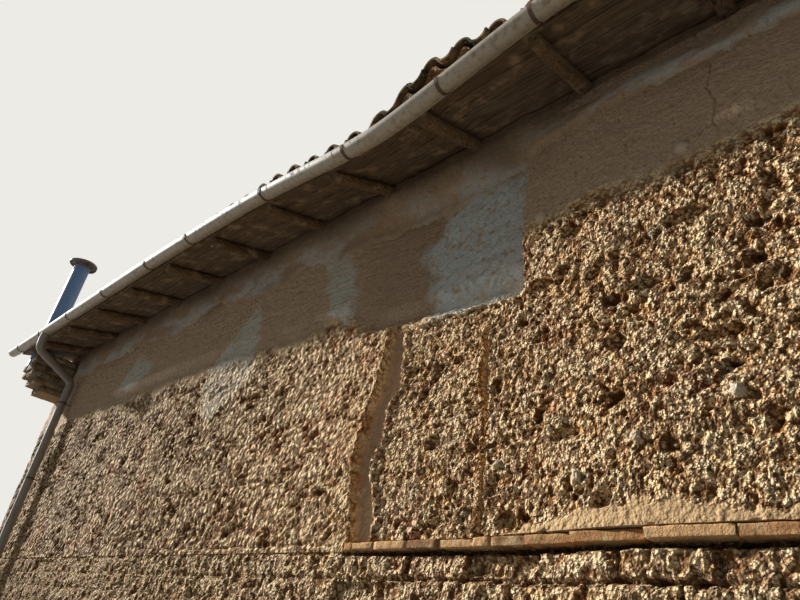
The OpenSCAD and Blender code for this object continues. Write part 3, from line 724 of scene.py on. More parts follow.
@dataclass(frozen=True)
class SheetFinish:
    """Factory-made sheet or pipe left outdoors: an even coat that dust, streaks or rust have dulled."""

    name: str
    coat: str
    weathering: Weathering
    roughness: float = 0.45
    streak: tuple[float, float, float] = (1.0, 1.0, 0.15)

    def material(self) -> Material:
        """Streaks follow the fall of water by the mapping's scale, and the soiled parts are rougher."""
        g = Graph(self.name, self.roughness, specular=0.5)
        soil, low, high = self.weathering.value
        fall = g.add("Mapping", {"Vector": g.place, "Scale": list(self.streak)}).outputs["Vector"]
        streaks = g.noise(35, low, high, detail=5, vector=fall)
        specks = g.noise(9, 0.6, 0.72)
        colour = g.painted(self.coat, (soil, g.times(streaks, 0.8)), (soil, g.times(specks, 0.5)))
        rough = g.add("MapRange", {"Value": streaks, "To Min": self.roughness, "To Max": 0.85}).outputs[0]
        return g.done(colour, g.bump(g.noise(22, 0.2, 0.8), 0.4), rough)


@dataclass(frozen=True)
class MasonryFinish:
    """Fired brick or fieldstone: each piece of its own tone, dusted with earth, with a pitted face."""

    name: str
    light: str
    mid: str
    dark: str
    joint: str = "#9A8262"
    pit_mm: float = 6.0

    def material(self) -> Material:
        """The tint mark picks the piece's tone, and the mortar mark fills the joints."""
        g = Graph(self.name, roughness=0.92, specular=0.15)
        tint = g.mark("tint")
        colour = g.painted(
            self.mid,
            (self.light, g.share(tint, 0.5, 1.0)),
            (self.dark, g.share(tint, 0.4, 0.0)),
            (self.dark, g.noise(30, 0.55, 0.75)),
            (self.joint, g.noise(70, 0.48, 0.7)),
            (self.joint, g.mark("mortar")),
        )
        normal = g.bump(g.noise(self.pit_mm, 0.25, 0.75, detail=5), 2.0)
        normal = g.bump(g.noise(45, 0.2, 0.8), 6.0, normal)
        return g.done(colour, normal)


@dataclass
class Finishes:
    """One material for each finish of the house, made once."""

    front_earth: Material
    end_earth: Material
    adobe: Material
    lime_coat: Material
    packed_earth: Material
    poles: Material
    boards: Material
    joinery: Material
    tiles: Material
    bricks: Material
    stones: Material
    gutter: Material
    straps: Material
    pipe: Material
    flue: Material
    rust: Material

    @classmethod
    def mixed(cls) -> "Finishes":
        """Makes every finish with its own colours."""
        earth, sheet = EarthFinish, SheetFinish
        # Painted shade: the end walls get a darker copy of the front earth, as the key light strikes the
        # left end head-on.
        shaded = {"top": "#AE8F68", "body": "#93704B", "rosy": "#875D40", "ashen": "#867256"}
        packed = {"body": "#7C6A4A", "top": "#9C8862", "sheltered": "#85705A"}
        return cls(
            front_earth=earth("rammed_earth").material(),
            end_earth=earth("shaded_rammed_earth", **shaded).material(),
            adobe=earth("adobe_block", body="#CD9D66").material(),
            lime_coat=earth("lime_render", body="#AD9479", sheltered="#A48C72", lime="#CCD0CA").material(),
            packed_earth=earth("packed_earth", **packed).material(),
            poles=TimberFinish("barked_pole", grain_axis=1).material(),
            boards=TimberFinish("rough_sawn_board", pale="#84705A", dark="#4E3D2C", grain_mm=9).material(),
            joinery=TimberFinish("oiled_plank", pale="#7A5638", dark="#3F2A1A", grain_axis=2).material(),
            tiles=TileFinish("barrel_tile_clay").material(),
            bricks=MasonryFinish("fired_brick", "#C3996A", "#A97B4E", "#735036", joint="#AD926A").material(),
            stones=MasonryFinish("fieldstone", "#A39A87", "#857A68", "#5F564A").material(),
            gutter=sheet("coated_gutter_sheet", "#ABA290", Weathering.DUSTY).material(),
            straps=sheet("painted_strap_iron", "#3B3530", Weathering.RUSTED, roughness=0.6).material(),
            pipe=sheet("grey_rainwater_plastic", "#8A867E", Weathering.DUSTY, roughness=0.6).material(),
            # Painted reflection: the coat is blue in place of the sky that the sheet reflects.
            flue=sheet("flue_sheet_painted_sky_reflection", "#688BB6", Weathering.STREAKED, roughness=0.5).material(),
            rust=sheet("galvanised_cap_sheet", "#8B8378", Weathering.RUSTED, roughness=0.55).material(),
        )


# Placing pieces


def added(name: str, data: bpy.types.ID) -> bpy.types.Object:
    """New object in the scene that holds the data."""
    obj = bpy.data.objects.new(name, data)
    bpy.context.scene.collection.objects.link(obj)
    return obj


def upright(node: str) -> tuple[float, float, float]:
    """Place along, place across and radius of an upright round node, from its box."""
    low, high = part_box(node)
    return (low.x + high.x) / 2, (low.y + high.y) / 2, (high.x - low.x) / 2


def place(
    name: str, shape: Shape, material: Material, nodes: Sequence[str] = (), crease: float = 0,
    facets: bool = False,
) -> None:
    """Puts a shape into the scene as a piece of the house, at the origin.

    Args:
        name: Name of the piece.
        shape: Its points, faces and marks, in metres in the frame.
        material: Its finish.
        nodes: CAD nodes that it stands for.
        crease: Angle in degrees past which an edge is sharp, or 0 for a surface that is smooth all over.
        facets: Whether each face is flat, as on broken earth.
    """
    mesh = bpy.data.meshes.new(name)
    sizes = np.concatenate([np.full(len(f), f.shape[1]) for f in shape.faces])
    corners = np.concatenate([f.ravel() for f in shape.faces])
    mesh.vertices.add(len(shape.points))
    mesh.vertices.foreach_set("co", shape.points.astype(np.float32).ravel())
    mesh.loops.add(len(corners))
    mesh.loops.foreach_set("vertex_index", corners.astype(np.int32))
    mesh.polygons.add(len(sizes))
    mesh.polygons.foreach_set("loop_start", (np.cumsum(sizes) - sizes).astype(np.int32))
    mesh.update(calc_edges=True)
    mesh.polygons.foreach_set("use_smooth", (sizes <= 4) & (not facets))
    for key, values in shape.marks.items():
        mesh.attributes.new(key, "FLOAT", "POINT").data.foreach_set("value", values.astype(np.float32))
    if crease:
        mesh.set_sharp_from_angle(angle=math.radians(crease))
    mesh.materials.append(material)
    obj = added(name, mesh)
    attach(obj, "root")
    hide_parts(*nodes)
    log.info("%s: %d triangles", name, int((sizes - 2).sum()))


def repaint(frame: dict, node: str, material: Material) -> None:
    """Gives a CAD node that stays in view a better finish."""
    for entry in frame["nodes"][node].material_slots:
        entry.material = material
    log.info("%s keeps its frame mesh", node)


class Side(Enum):
    """Long side of the house, with the quarter turns that bring there what is made for the front."""

    FRONT = 0
    BACK = 2

    @property
    def word(self) -> str:
        """The side's name in the nodes."""
        return self.name.lower()


@dataclass(frozen=True)
class Massing:
    """Main planes of the house, read from the frame's boxes."""

    half_l: float
    face_y: float
    inner_y: float
    plinth_top: float
    course_z: float
    wall_top: float
    board_z: float
    board_reach: float
    tile_reach: float
    pitch: float
    board_t: float = 0.022
    verge: float = 0.10

    @classmethod
    def measured(cls, pitch_deg: float = 15.0, tile_stand: float = 0.147) -> "Massing":
        """Reads the planes from the nodes that hold them.

        Args:
            pitch_deg: Pitch of the roof in degrees.
            tile_stand: Height of the tiles' upper edge over the boards' underside, square to the slope.

        Returns:
            The planes.
        """
        wall_low, wall_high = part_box("front_wall_far")
        boards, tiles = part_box("back_roof_boards"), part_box("back_tiles")
        face, pitch = -wall_low.y, math.radians(pitch_deg)
        reach = boards[1].y - face
        return cls(
            half_l=-wall_low.x,
            face_y=face,
            inner_y=-wall_high.y,
            plinth_top=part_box("stone_plinth")[1].z,
            course_z=wall_low.z,
            wall_top=wall_high.z,
            board_z=boards[0].z + reach * math.tan(pitch),
            board_reach=reach,
            tile_reach=tiles[1].y - face - tile_stand * math.sin(pitch),
            pitch=pitch,
        )

    @property
    def verge_x(self) -> float:
        """Half the length of the roof."""
        return self.half_l + self.verge

    def underside(self, y: Array) -> Array:
        """Height of the underside of the roof boards: it falls from the ridge at the roof's pitch."""
        return self.board_z + (self.face_y - np.abs(y)) * math.tan(self.pitch)

    def uphill(self, run: float) -> float:
        """Length along the slope over a level run: the run divided by the cosine of the pitch."""
        return run / math.cos(self.pitch)

    def on_slope(self, x: Array, v: Array, w: Array) -> Array:
        """Points of the front slope: v climbs it from the wall face, w stands off the boards' underside."""
        c, s = math.cos(self.pitch), math.sin(self.pitch)
        return at(x, -self.face_y + v * c - w * s, self.board_z + v * s + w * c)


@dataclass(frozen=True)
class EaveSag:
    """How far the gutter and the tiles of the front eave have sunk, in rows of (place along it, metres)."""

    rims: Outline = (
        (-5.9, 4.880), (-4.9, 4.878), (-3.6, 4.886), (-2.7, 4.888), (-1.7, 4.890), (-1.0, 4.876),
        (-0.44, 4.858), (0.14, 4.838), (0.47, 4.815), (1.01, 4.756), (1.43, 4.695), (1.89, 4.668),
        (2.25, 4.722), (2.72, 4.815), (3.12, 4.888), (5.9, 4.900),
    )
    depths: Outline = (
        (-1.47, 0.0), (-0.44, 0.028), (0.47, 0.050), (1.01, 0.122), (1.43, 0.175), (1.75, 0.185),
        (2.00, 0.110), (2.30, 0.0),
    )
    slips: Outline = (
        (0.2, 0.0), (0.6, 0.030), (1.75, 0.035), (2.05, 0.055), (2.35, 0.078), (2.65, 0.060),
        (2.9, 0.025), (3.2, 0.0),
    )
    hinge: float = 0.03
    rim_ease: float = 0.16
    depth_ease: float = 0.11

    def eased(self, x: Array, table: Outline, half: float) -> Array:
        """Straight lines between the rows, eased by a running mean over half a width to each side."""
        return read_off(x[..., None] + np.linspace(-half, half, 9), table).mean(-1)

    def rim(self, x: Array) -> Array:
        """Rim height of the front gutter."""
        return self.eased(x, self.rims, self.rim_ease)

    def slipped(self, x: Array) -> Array:
        """How far the first tiles and their bed have slid out over the gutter."""
        return read_off(x, self.slips)

    def lowered(self, points: Array, m: Massing) -> Array:
        """Points of the straight front slope as the sunken eave has them: lower the further they stand out.

        A point sinks by the depth at its x times its share of the run from the hinge to the tiles' edge.
        """
        share = np.clip((-points[..., 1] - m.face_y - self.hinge) / (m.tile_reach - self.hinge), 0, 1.2)
        sunk = self.eased(points[..., 0], self.depths, self.depth_ease) * share * smooth(share, -0.1, 0.12)
        return points - sunk[..., None] * (0, 0, 1)

    def settled(self, shape: Shape, side: Side, m: Massing) -> Shape:
        """The shape as its eave has it: sunk at the front and straight at the back."""
        if side is Side.FRONT:
            shape.points = self.lowered(shape.points, m)
        return shape


# Reliefs of the walls


@dataclass(frozen=True)
class Gravel:
    """Clods of three sizes heaped on a face. Each size is cut flat, and the larger lends its tint first."""

    rises: tuple[float, float, float]
    limits: tuple[float, float, float] = (0.42, 0.40, 0.42)
    seen_from: tuple[float, float] = (0.3, 0.25)

    def heaped(self, *sizes: tuple[Array, Array]) -> tuple[Array, Array, Array]:
        """Heaps the big, middle and small clods, given as heights in pitches and tints.

        Returns:
            How far the heap stands out, how tall its two larger sizes are in pitches, and its tint.
        """
        tall = [np.minimum(height, limit) for (height, _), limit in zip(sizes, self.limits)]
        stands = sum(rise * height for rise, height in zip(self.rises, tall))
        tint = np.where(tall[1] > self.seen_from[1], sizes[1][1], sizes[2][1])
        return stands, tall[0] + tall[1], np.where(tall[0] > self.seen_from[0], sizes[0][1], tint)


def coarser_to_the_left(x: Array) -> Array:
    """How much stronger the finish draws its grains, which are seen from further off towards the left."""
    return read_off(x, ((-4, 2.6), (0, 1.9), (2.4, 1.35)))


@dataclass(frozen=True)
class FrontErosion:
    """Weathering of the rammed earth on the long front, as places on the wall's face in metres.

    Tables are rows of (height, value). Lifts are (height, from x, to x), pebbles are (x, z, radius), and
    holes are (x, z, half width, half height).
    """

    salt: int = 11
    joint_x: float = 2.35
    step_x: float = 2.59
    step_z: float = 3.52
    end_x: float = 5.75
    brick_top: float = 2.203
    crack_x: float = 3.75
    hollow_deep: float = 0.15
    channel_deep: float = 0.072
    groove_deep: float = 0.06
    slack_deep: float = 0.055
    brick_bed_deep: float = 0.045
    hole_deep: float = 0.05
    lift_deep: float = 0.013
    crack_deep: float = 0.012
    clod_base: float = 0.006
    gravel: Gravel = Gravel((0.009, 0.012, 0.009))
    bulge: Outline = (
        (2.2, 0.0), (2.9, 0.018), (3.45, 0.046), (3.8, 0.064), (4.05, 0.064), (4.35, 0.036), (4.66, -0.03),
    )
    channel_left: Outline = ((2.15, 1.335), (2.7, 1.285), (3.1, 1.325), (3.3, 1.365), (3.66, 1.39))
    channel_right: Outline = (
        (2.15, 1.52), (2.33, 1.54), (2.67, 1.43), (2.83, 1.5), (3.05, 1.5), (3.18, 1.58), (3.45, 1.545),
        (3.66, 1.50),
    )
    hollow: Outline = ((0.70, 5.30), (0.80, 4.00), (1.00, 3.70), (1.64, 3.66), (2.62, 3.55), (2.70, 5.30))
    limes: tuple[Outline, ...] = (
        ((0.38, 4.62), (0.66, 4.81), (0.92, 4.14), (0.92, 3.82), (0.80, 3.81), (0.58, 4.16)),
        ((-1.16, 3.84), (-0.46, 4.49), (-0.30, 3.65), (-0.85, 3.27), (-1.18, 3.57)),
        ((-3.34, 4.16), (-3.06, 4.51), (-2.48, 4.24), (-3.05, 3.97)),
        ((2.38, 3.50), (2.40, 3.72), (2.62, 3.78), (2.60, 3.55)),
    )
    fillet: Outline = (
        (2.45, 2.19), (2.62, 2.25), (2.85, 2.30), (3.30, 2.315), (3.62, 2.27), (3.9, 2.25), (3.9, 2.19),
    )
    lifts: tuple[tuple[float, ...], ...] = ((2.195, -1.2, 1.3), (2.66, -1.5, 0.3), (3.46, -5.7, -1.8))
    holes: tuple[tuple[float, ...], ...] = (
        (2.39, 2.44, 0.035, 0.04), (2.49, 2.285, 0.06, 0.045), (3.03, 2.33, 0.05, 0.04),
        (-0.05, 2.48, 0.03, 0.10), (2.72, 3.53, 0.10, 0.04), (3.32, 3.32, 0.09, 0.03),
        (2.85, 2.66, 0.08, 0.035), (3.62, 2.98, 0.10, 0.03), (3.55, 3.62, 0.12, 0.035),
        (3.15, 3.05, 0.05, 0.05), (2.95, 3.80, 0.07, 0.04), (1.95, 2.75, 0.06, 0.04),
    )
    pebbles: tuple[tuple[float, ...], ...] = (
        (1.44, 2.52, 0.024), (1.34, 2.54, 0.02), (3.64, 2.71, 0.03), (2.91, 2.44, 0.028),
        (2.74, 3.98, 0.04), (3.58, 4.02, 0.035), (2.44, 2.56, 0.022), (3.21, 2.58, 0.025),
    )

    def foot(self, x: Array) -> Array:
        """How far the foot of the near panel and the bricks under it stand out."""
        return 0.02 + 0.08 * smooth(x, 2.4, 3.2)

    def channel(self, x: Array, z: Array) -> tuple[Array, Array]:
        """The channel that rain has washed out to the left of the pier.

        Returns:
            Share of the channel at each point, and how far its two raised edges stand out.
        """
        left, right = read_off(z, self.channel_left), read_off(z, self.channel_right)
        ragged = 0.018 * ripple(x * 6, z * 22, self.salt + 2)
        washed = smooth(x + ragged, left, left + 0.03) * smooth(x - ragged, right + 0.01, right - 0.03)
        washed *= smooth(z, 3.72, 3.62)
        ridge = bell(x + ragged - left, 0.017) * smooth(z, 3.74, 3.66) * smooth(z, 2.35, 2.6)
        lip = bell(x - ragged - right - 0.035, 0.03) * smooth(z, 3.7, 3.6)
        return washed, 0.028 * ridge + 0.018 * lip

    def levels(self, x: Array, z: Array) -> tuple[Array, Array, Array]:
        """Large forms: the proud near panel, the hollow under the eave, and the pier's channel and groove.

        Returns:
            How far each stands out, where the face is smooth, and where it is the near panel.
        """
        wobble = 0.012 * ripple(x * 9, z * 9, self.salt) + 0.006 * ripple(x * 31, z * 31, self.salt + 1)
        wobble += 0.008 * ripple(x * 40, z * 62, self.salt + 76)
        joint = blend(self.joint_x, self.step_x, smooth(z, self.step_z - 0.06, self.step_z + 0.03))
        near = smooth(x + wobble, joint - 0.007, joint + 0.007)
        sunk = smooth(inside(x + wobble, z + wobble, self.hollow), -0.01, 0.11)
        sunk *= smooth(x, 0.75, 1.25) * (1 - near)
        channel, edges = self.channel(x, z)
        side = joint - 0.035 - 0.075 * smooth(z, 2.85, 3.15)
        groove = smooth(x + wobble, side - 0.012, side + 0.004) * smooth(x + wobble, joint, joint - 0.012)
        groove *= smooth(z, 3.5, 3.4)
        slack = smooth(x, -1.2, 0.8) * smooth(z, 2.7, 3.6) * (1 - near) * (1 - sunk)
        proud = near * smooth(x, self.end_x + 0.02, self.end_x - 0.25)
        level = (self.foot(x) + read_off(z, self.bulge)) * proud + edges - self.slack_deep * slack
        level -= self.hollow_deep * sunk + self.channel_deep * channel + self.groove_deep * groove
        calm = np.maximum(np.maximum(channel, 0.85 * sunk), 0.9 * groove)
        return level, calm, near

    def coats(self, x: Array, z: Array) -> Array:
        """Share of lime on the face: 1 inside the ragged patches, 0 outside them."""
        torn = 0.05 * uneven(x, z, 4, self.salt + 3)
        patches = [smooth(inside(x + torn, z + torn, patch), -0.02, 0.05) for patch in self.limes]
        return np.max(patches, axis=0)

    def stones(self, x: Array, z: Array, bent: tuple[Array, Array]) -> tuple[Array, Array, Array]:
        """Clods of three sizes, the middle ones drawn out by rain lower down, and the caves between them.

        Args:
            x: Place along the front.
            z: Height.
            bent: Both places as noise has shifted them.

        Returns:
            How far the clods and caves stand out, the height of the larger clods, and their tint.
        """
        big = clods(*bent, 0.060, self.salt + 10, 0.30)
        mid = clods(*bent, 0.034, self.salt + 20, 0.66)
        drawn = clods(*bent, 0.028, self.salt + 30, 0.66, stretch=2.4)
        small = clods(*bent, 0.021, self.salt + 40, 0.7)
        caves, _ = clods(*bent, 0.085, self.salt + 50, 0.28, stretch=0.6)
        pores, _ = clods(*bent, 0.036, self.salt + 56, 0.36, stretch=0.8)
        runs = smooth(z + 0.1 * ripple(x * 3, z * 3, self.salt + 8), 3.0, 2.6)
        mid = blend(mid[0], drawn[0], runs), np.where(runs > 0.5, drawn[1], mid[1])
        stands, lobes, tint = self.gravel.heaped(big, mid, small)
        gnawed = smooth(layered(x * 3.2, z * 4.5, self.salt + 60, 2), -0.45, 0.6)
        deep = (0.026 * caves + 0.020 * pores) * blend(0.25, 1.15, gnawed)
        return stands - self.clod_base - deep, lobes, tint

    def scars(self, x: Array, z: Array, bent: tuple[Array, Array], rough: Array) -> Array:
        """Depth of the joints between lifts, of the holes, and of the crack in the near panel.

        Args:
            x: Place along the front.
            z: Height.
            bent: Both places as noise has shifted them.
            rough: Share of the full roughness.

        Returns:
            How far all of them go in.
        """
        cut = np.zeros_like(z)
        for lift_z, x0, x1 in self.lifts:
            line = bell(z - lift_z + 0.012 * ripple(x * 4, z * 0, self.salt + 71), 0.009)
            cut += self.lift_deep * line * rough * smooth(x, x0, x0 + 0.2) * smooth(x, x1, x1 - 0.2)
        for hole_x, hole_z, half_w, half_h in self.holes:
            away = np.hypot((bent[0] - hole_x) / half_w, (bent[1] - hole_z) / half_h)
            cut += self.hole_deep * smooth(away, 1.15, 0.7)
        away = np.abs(x - self.crack_x + 0.02 * layered(x * 0, z * 6, self.salt + 72))
        crack = self.crack_deep * smooth(away, 0.007, 0.002)
        return cut + crack * smooth(z, 4.0, 4.06) * smooth(z, 4.72, 4.6)

    def loose(self, x: Array, z: Array) -> Array:
        """How far the pale pebbles stand out: nine tenths of a half ball each."""
        return sum(
            0.9 * r * np.sqrt(np.clip(1 - ((x - px) ** 2 + (z - pz) ** 2) / r**2, 0, None))
            for px, pz, r in self.pebbles
        )

    def relief(self, x: Array, z: Array) -> Field:
        """Erosion of the face: large forms, broad waves, clods, caves, scars, pebbles and the mortar fillet.

        Args:
            x: Place along the front, (1, n) or (nz, n).
            z: Height, (nz, n).

        Returns:
            How far the face stands out, how far it sags down, and the marks for the finish.
        """
        x, salt = np.broadcast_to(x, z.shape), self.salt
        level, calm, near = self.levels(x, z)
        shelter = smooth(z + 0.07 * ripple(x * 2.1, z * 2, salt + 4), 3.74 + 0.10 * near, 3.98 + 0.04 * near)
        lime = self.coats(x, z)
        mortar = smooth(inside(x, z, self.fillet) + 0.03 * uneven(x, z, 10, salt + 5), 0.0, 0.015) * near
        rough = blend(1.0, 0.2, shelter) * (1 - 0.85 * calm) * (1 - 0.3 * lime) * (1 - 0.85 * mortar)
        rough = rough * blend(0.8, 1.0, smooth(x, 1.2, 2.5))
        bent = x + 0.012 * uneven(x, z, 15, salt + 6, 2), z + 0.012 * uneven(x, z, 15, salt + 7, 2)
        stones, lobes, tint = self.stones(x, z, bent)
        scratches = 0.004 * ripple(x * 5, z * 60, salt + 9) * shelter * (1 - near)
        pits = 0.012 * smooth(ripple(x * 26, z * 26, salt + 70), 0.35, 0.7) * shelter * near
        loose = self.loose(x, z)
        out = level + 0.010 * uneven(x, z, 1.4, salt + 64, 2) + rough * stones + scratches - pits
        out += loose - self.scars(x, z, bent, rough)
        above = z - self.brick_top
        laid = level + 0.003 + 0.006 * smooth(above, 0.09, 0.0) + 0.004 * uneven(x, z, 20, salt + 75)
        out = blend(out, laid, mortar * smooth(above, 0.12, 0.02))
        out = blend(out, -self.brick_bed_deep, smooth(above, 0.006, -0.002) * smooth(x, 1.30, 1.36))
        fall = rough * 0.006 * lobes * smooth(z, 2.16, 2.24) * smooth(z, 4.9, 4.8)
        # Darker towards the top under the eave, and painted shade in the recessed faces above 3.7 m and in
        # the groove beside the joint.
        grime = smooth(z + 0.15 * ripple(x * 1.5, z * 1.5, salt + 73), 4.5, 4.85) * 0.6
        grime = grime + 0.3 * calm * (z > 3.7)
        grime = grime + 0.75 * calm * (np.abs(x - self.joint_x + 0.06) < 0.08) * (z < 3.6)
        pale = loose > 0
        coarse = blend(0.25, 1.0, rough) * (1 - 0.8 * pale)
        # The height mark drives the finish's painted highlights on raised clods and painted shade in the low
        # parts.
        return out, fall, {
            "tint": np.where(pale, 0.95, tint),
            "height": np.clip(0.62 + stones * 20 + 0.30 * shelter + 0.3 * calm, 0, 1),
            "lime": np.maximum(lime, 0.4 * pale),
            "mortar": mortar,
            "grime": grime,
            "rough": coarse,
            "grainy": coarse * coarser_to_the_left(x),
            "bleached": 0.45 * smooth(x, 1.7, 0.9) + 0.55 * smooth(x, 0.9, -3.5),
        }


@dataclass(frozen=True)
class PlainErosion:
    """Weathering of the rammed earth on the back and the ends: lifts, panel joints, clods and rain runs."""

    salt: int
    strength: float = 0.7
    first_lift: float = 2.155
    lift: float = 0.82
    panel: float = 1.9
    joint_half: float = 0.022

    def relief(self, x: Array, z: Array) -> Field:
        """Clods of two sizes on broad waves, cut by level lifts and upright panel joints."""
        x = np.broadcast_to(x, z.shape)
        warp_x = x + 0.03 * ripple(x * 9, z * 9, self.salt)
        big, big_tint = clods(warp_x, z, 0.12, self.salt + 10, 0.5)
        mid, mid_tint = clods(warp_x, z, 0.062, self.salt + 20, 0.7, stretch=1.3)
        fine = 0.045 * big + 0.04 * mid
        caves = smooth(layered(x * 3.5, z * 6, self.salt + 30, 2), 0.35, 1.0)
        out = 0.016 * uneven(x, z, 1.2, self.salt + 40, 2) + self.strength * (fine - 0.03 - 0.035 * caves)
        rise = (z - self.first_lift) / self.lift
        row = np.floor(rise)
        lift_d = np.abs(rise - row + 0.01 * ripple(x * 3, row, self.salt + 41)) * self.lift
        along = x / self.panel + lattice(row.astype(np.int64), row.astype(np.int64) * 0, self.salt + 42)
        panel_d = np.abs(along - np.round(along)) * self.panel
        level, plumb = (smooth(d, self.joint_half, 0.006) for d in (lift_d, panel_d))
        out -= 0.02 * level + 0.018 * plumb
        return out, np.zeros_like(out), {
            "tint": np.where(big > 0.35, big_tint, mid_tint),
            "height": np.clip(0.6 + (fine - 0.026 - 0.03 * caves) * 12, 0, 1),
            "lime": smooth(layered(x * 0.7, z * 0.9, self.salt + 50), 0.62, 0.8),
            # Darker towards the top, under the eave.
            "grime": smooth(z, 4.4, 4.9) * 0.5,
            "rough": np.full_like(out, 0.9),
            "grainy": np.full_like(out, 1.3),
        }


@dataclass(frozen=True)
class AdobeCourses:
    """Courses of worn sun-dried blocks with open joints, from the plinth to the string course."""

    salt: int = 301
    top: float = 2.155
    pitch: float = 0.137
    length: float = 0.405
    first_joint: float = 3.48
    joint: float = 0.017
    washed: float = 0.2
    joint_deep: float = 0.024
    missing_deep: float = 0.030
    recess_deep: float = 0.035
    corner_z: float = 0.52
    gravel: Gravel = Gravel((0.009, 0.013, 0.010))

    def laid(self, x: Array, z: Array) -> tuple[Array, Array, Array]:
        """The bond: courses that wave a little, each slid along by a share of a block.

        Returns:
            Distance to the nearest joint, and the column and the row of the block.
        """
        wave = 0.008 * layered(x * 1.7, z * 1.1, self.salt, 2)
        depth = (self.top - 0.012 - z + wave) / self.pitch
        row = np.floor(depth).astype(np.int64)
        slide = 0.37 * (row % 2) + 0.3 * lattice(row, row * 0, self.salt + 1) * (row > 1)
        bent = x - self.first_joint + 0.012 * ripple(z * 14, z * 0 + row, self.salt + 7)
        along = bent / self.length + slide
        shifted = along + 0.05 * lattice(np.floor(along).astype(np.int64), row, self.salt + 2)
        column = np.floor(shifted).astype(np.int64)
        level_d = np.minimum(depth - row, row + 1 - depth) * self.pitch
        upright_d = np.minimum(along - column, column + 1 - along) * self.length
        away = np.minimum(level_d, np.clip(upright_d, 0, None)) + 0.010 * uneven(x, z, 22, self.salt + 3)
        return away, column, row

    def relief(self, x: Array, z: Array) -> Field:
        """Distance to the nearest joint, level or upright, rounds each block off, and clods roughen it."""
        x, salt = np.broadcast_to(x, z.shape), self.salt
        away, column, row = self.laid(x, z)
        plain = blend(self.washed, 1.0, smooth(x, 0.9, 2.2))
        kept = smooth(layered(x * 1.6, z * 2.5, salt + 4, 2), -0.7, 0.0)
        joint = smooth(away, self.joint, self.joint * 0.3) * kept * plain
        worn = np.exp(-np.clip(away, 0, None) / 0.022)
        own = lattice(column, row, salt + 5)
        warp_x = x + 0.014 * uneven(x, z, 13, salt + 8, 2)
        big, big_tint = clods(warp_x, z, 0.075, salt + 10, 0.5)
        mid, mid_tint = clods(warp_x, z, 0.036, salt + 20, 0.68, stretch=2.4)
        small, small_tint = clods(warp_x, z, 0.026, salt + 30, 0.7)
        pores, _ = clods(warp_x, z, 0.06, salt + 40, 0.4)
        mid_tint, small_tint = 0.6 * mid_tint + 0.4 * own, 0.6 * small_tint + 0.4 * own
        stands, _, tint = self.gravel.heaped((big, big_tint), (mid, mid_tint), (small, small_tint))
        fine = stands - 0.020 * pores - 0.006
        out = 0.014 * (own - 0.5) * plain + fine - 0.006 * worn - self.joint_deep * joint
        out -= self.missing_deep * smooth(own, 0.08, 0.03) * smooth(away, 0.01, 0.03) * smooth(x, 3.0, 2.6)
        out += 0.08 * smooth(x, 2.4, 3.2) * smooth(x, 5.74, 5.5) * smooth(z, 0.9, 1.9)
        under = smooth(z, self.top - 0.033, self.top - 0.013) * smooth(x, 1.26, 1.36)
        out -= self.recess_deep * under
        out *= smooth(z, 0.45, self.corner_z) * 0.5 + 0.5
        return out, np.zeros_like(out), {
            "tint": tint,
            "height": np.clip(0.65 + fine * 20 - 0.35 * joint, 0, 1),
            "lime": smooth(layered(x * 0.8, z * 1.2, salt + 60), 0.7, 0.85),
            # Darker towards the plinth and in the joints, and painted shade in the recess under the brick
            # course.
            "grime": 0.5 * smooth(z, 0.75, 0.45) + 0.35 * joint + 0.7 * under,
            "rough": np.full_like(out, 0.95),
            "grainy": coarser_to_the_left(x),
        }


@dataclass(frozen=True)
class Rubble:
    """Fieldstones laid in earth: cells of unlike size with domed faces, and mortar in the joints."""

    salt: int = 401
    width: float = 0.30
    height: float = 0.17

    def relief(self, x: Array, z: Array) -> Field:
        """The distance to the cell's edge domes each stone and opens the joint."""
        x = np.broadcast_to(x, z.shape)
        edge, tint = cracks(x / self.width, z / self.height, self.salt)
        edge = edge + 0.04 * ripple(x * 22, z * 22, self.salt + 3)
        stone = smooth(edge, 0.05, 0.16)
        out = 0.030 * stone * (0.6 + 0.4 * smooth(edge, 0.1, 0.6)) - 0.028 + 0.02 * (tint - 0.5) * stone
        out += 0.005 * uneven(x, z, 18, self.salt + 4)
        return out, np.zeros_like(out), {"tint": tint, "height": stone, "mortar": 1 - stone}


Relief = Callable[[Array, Array], Field]


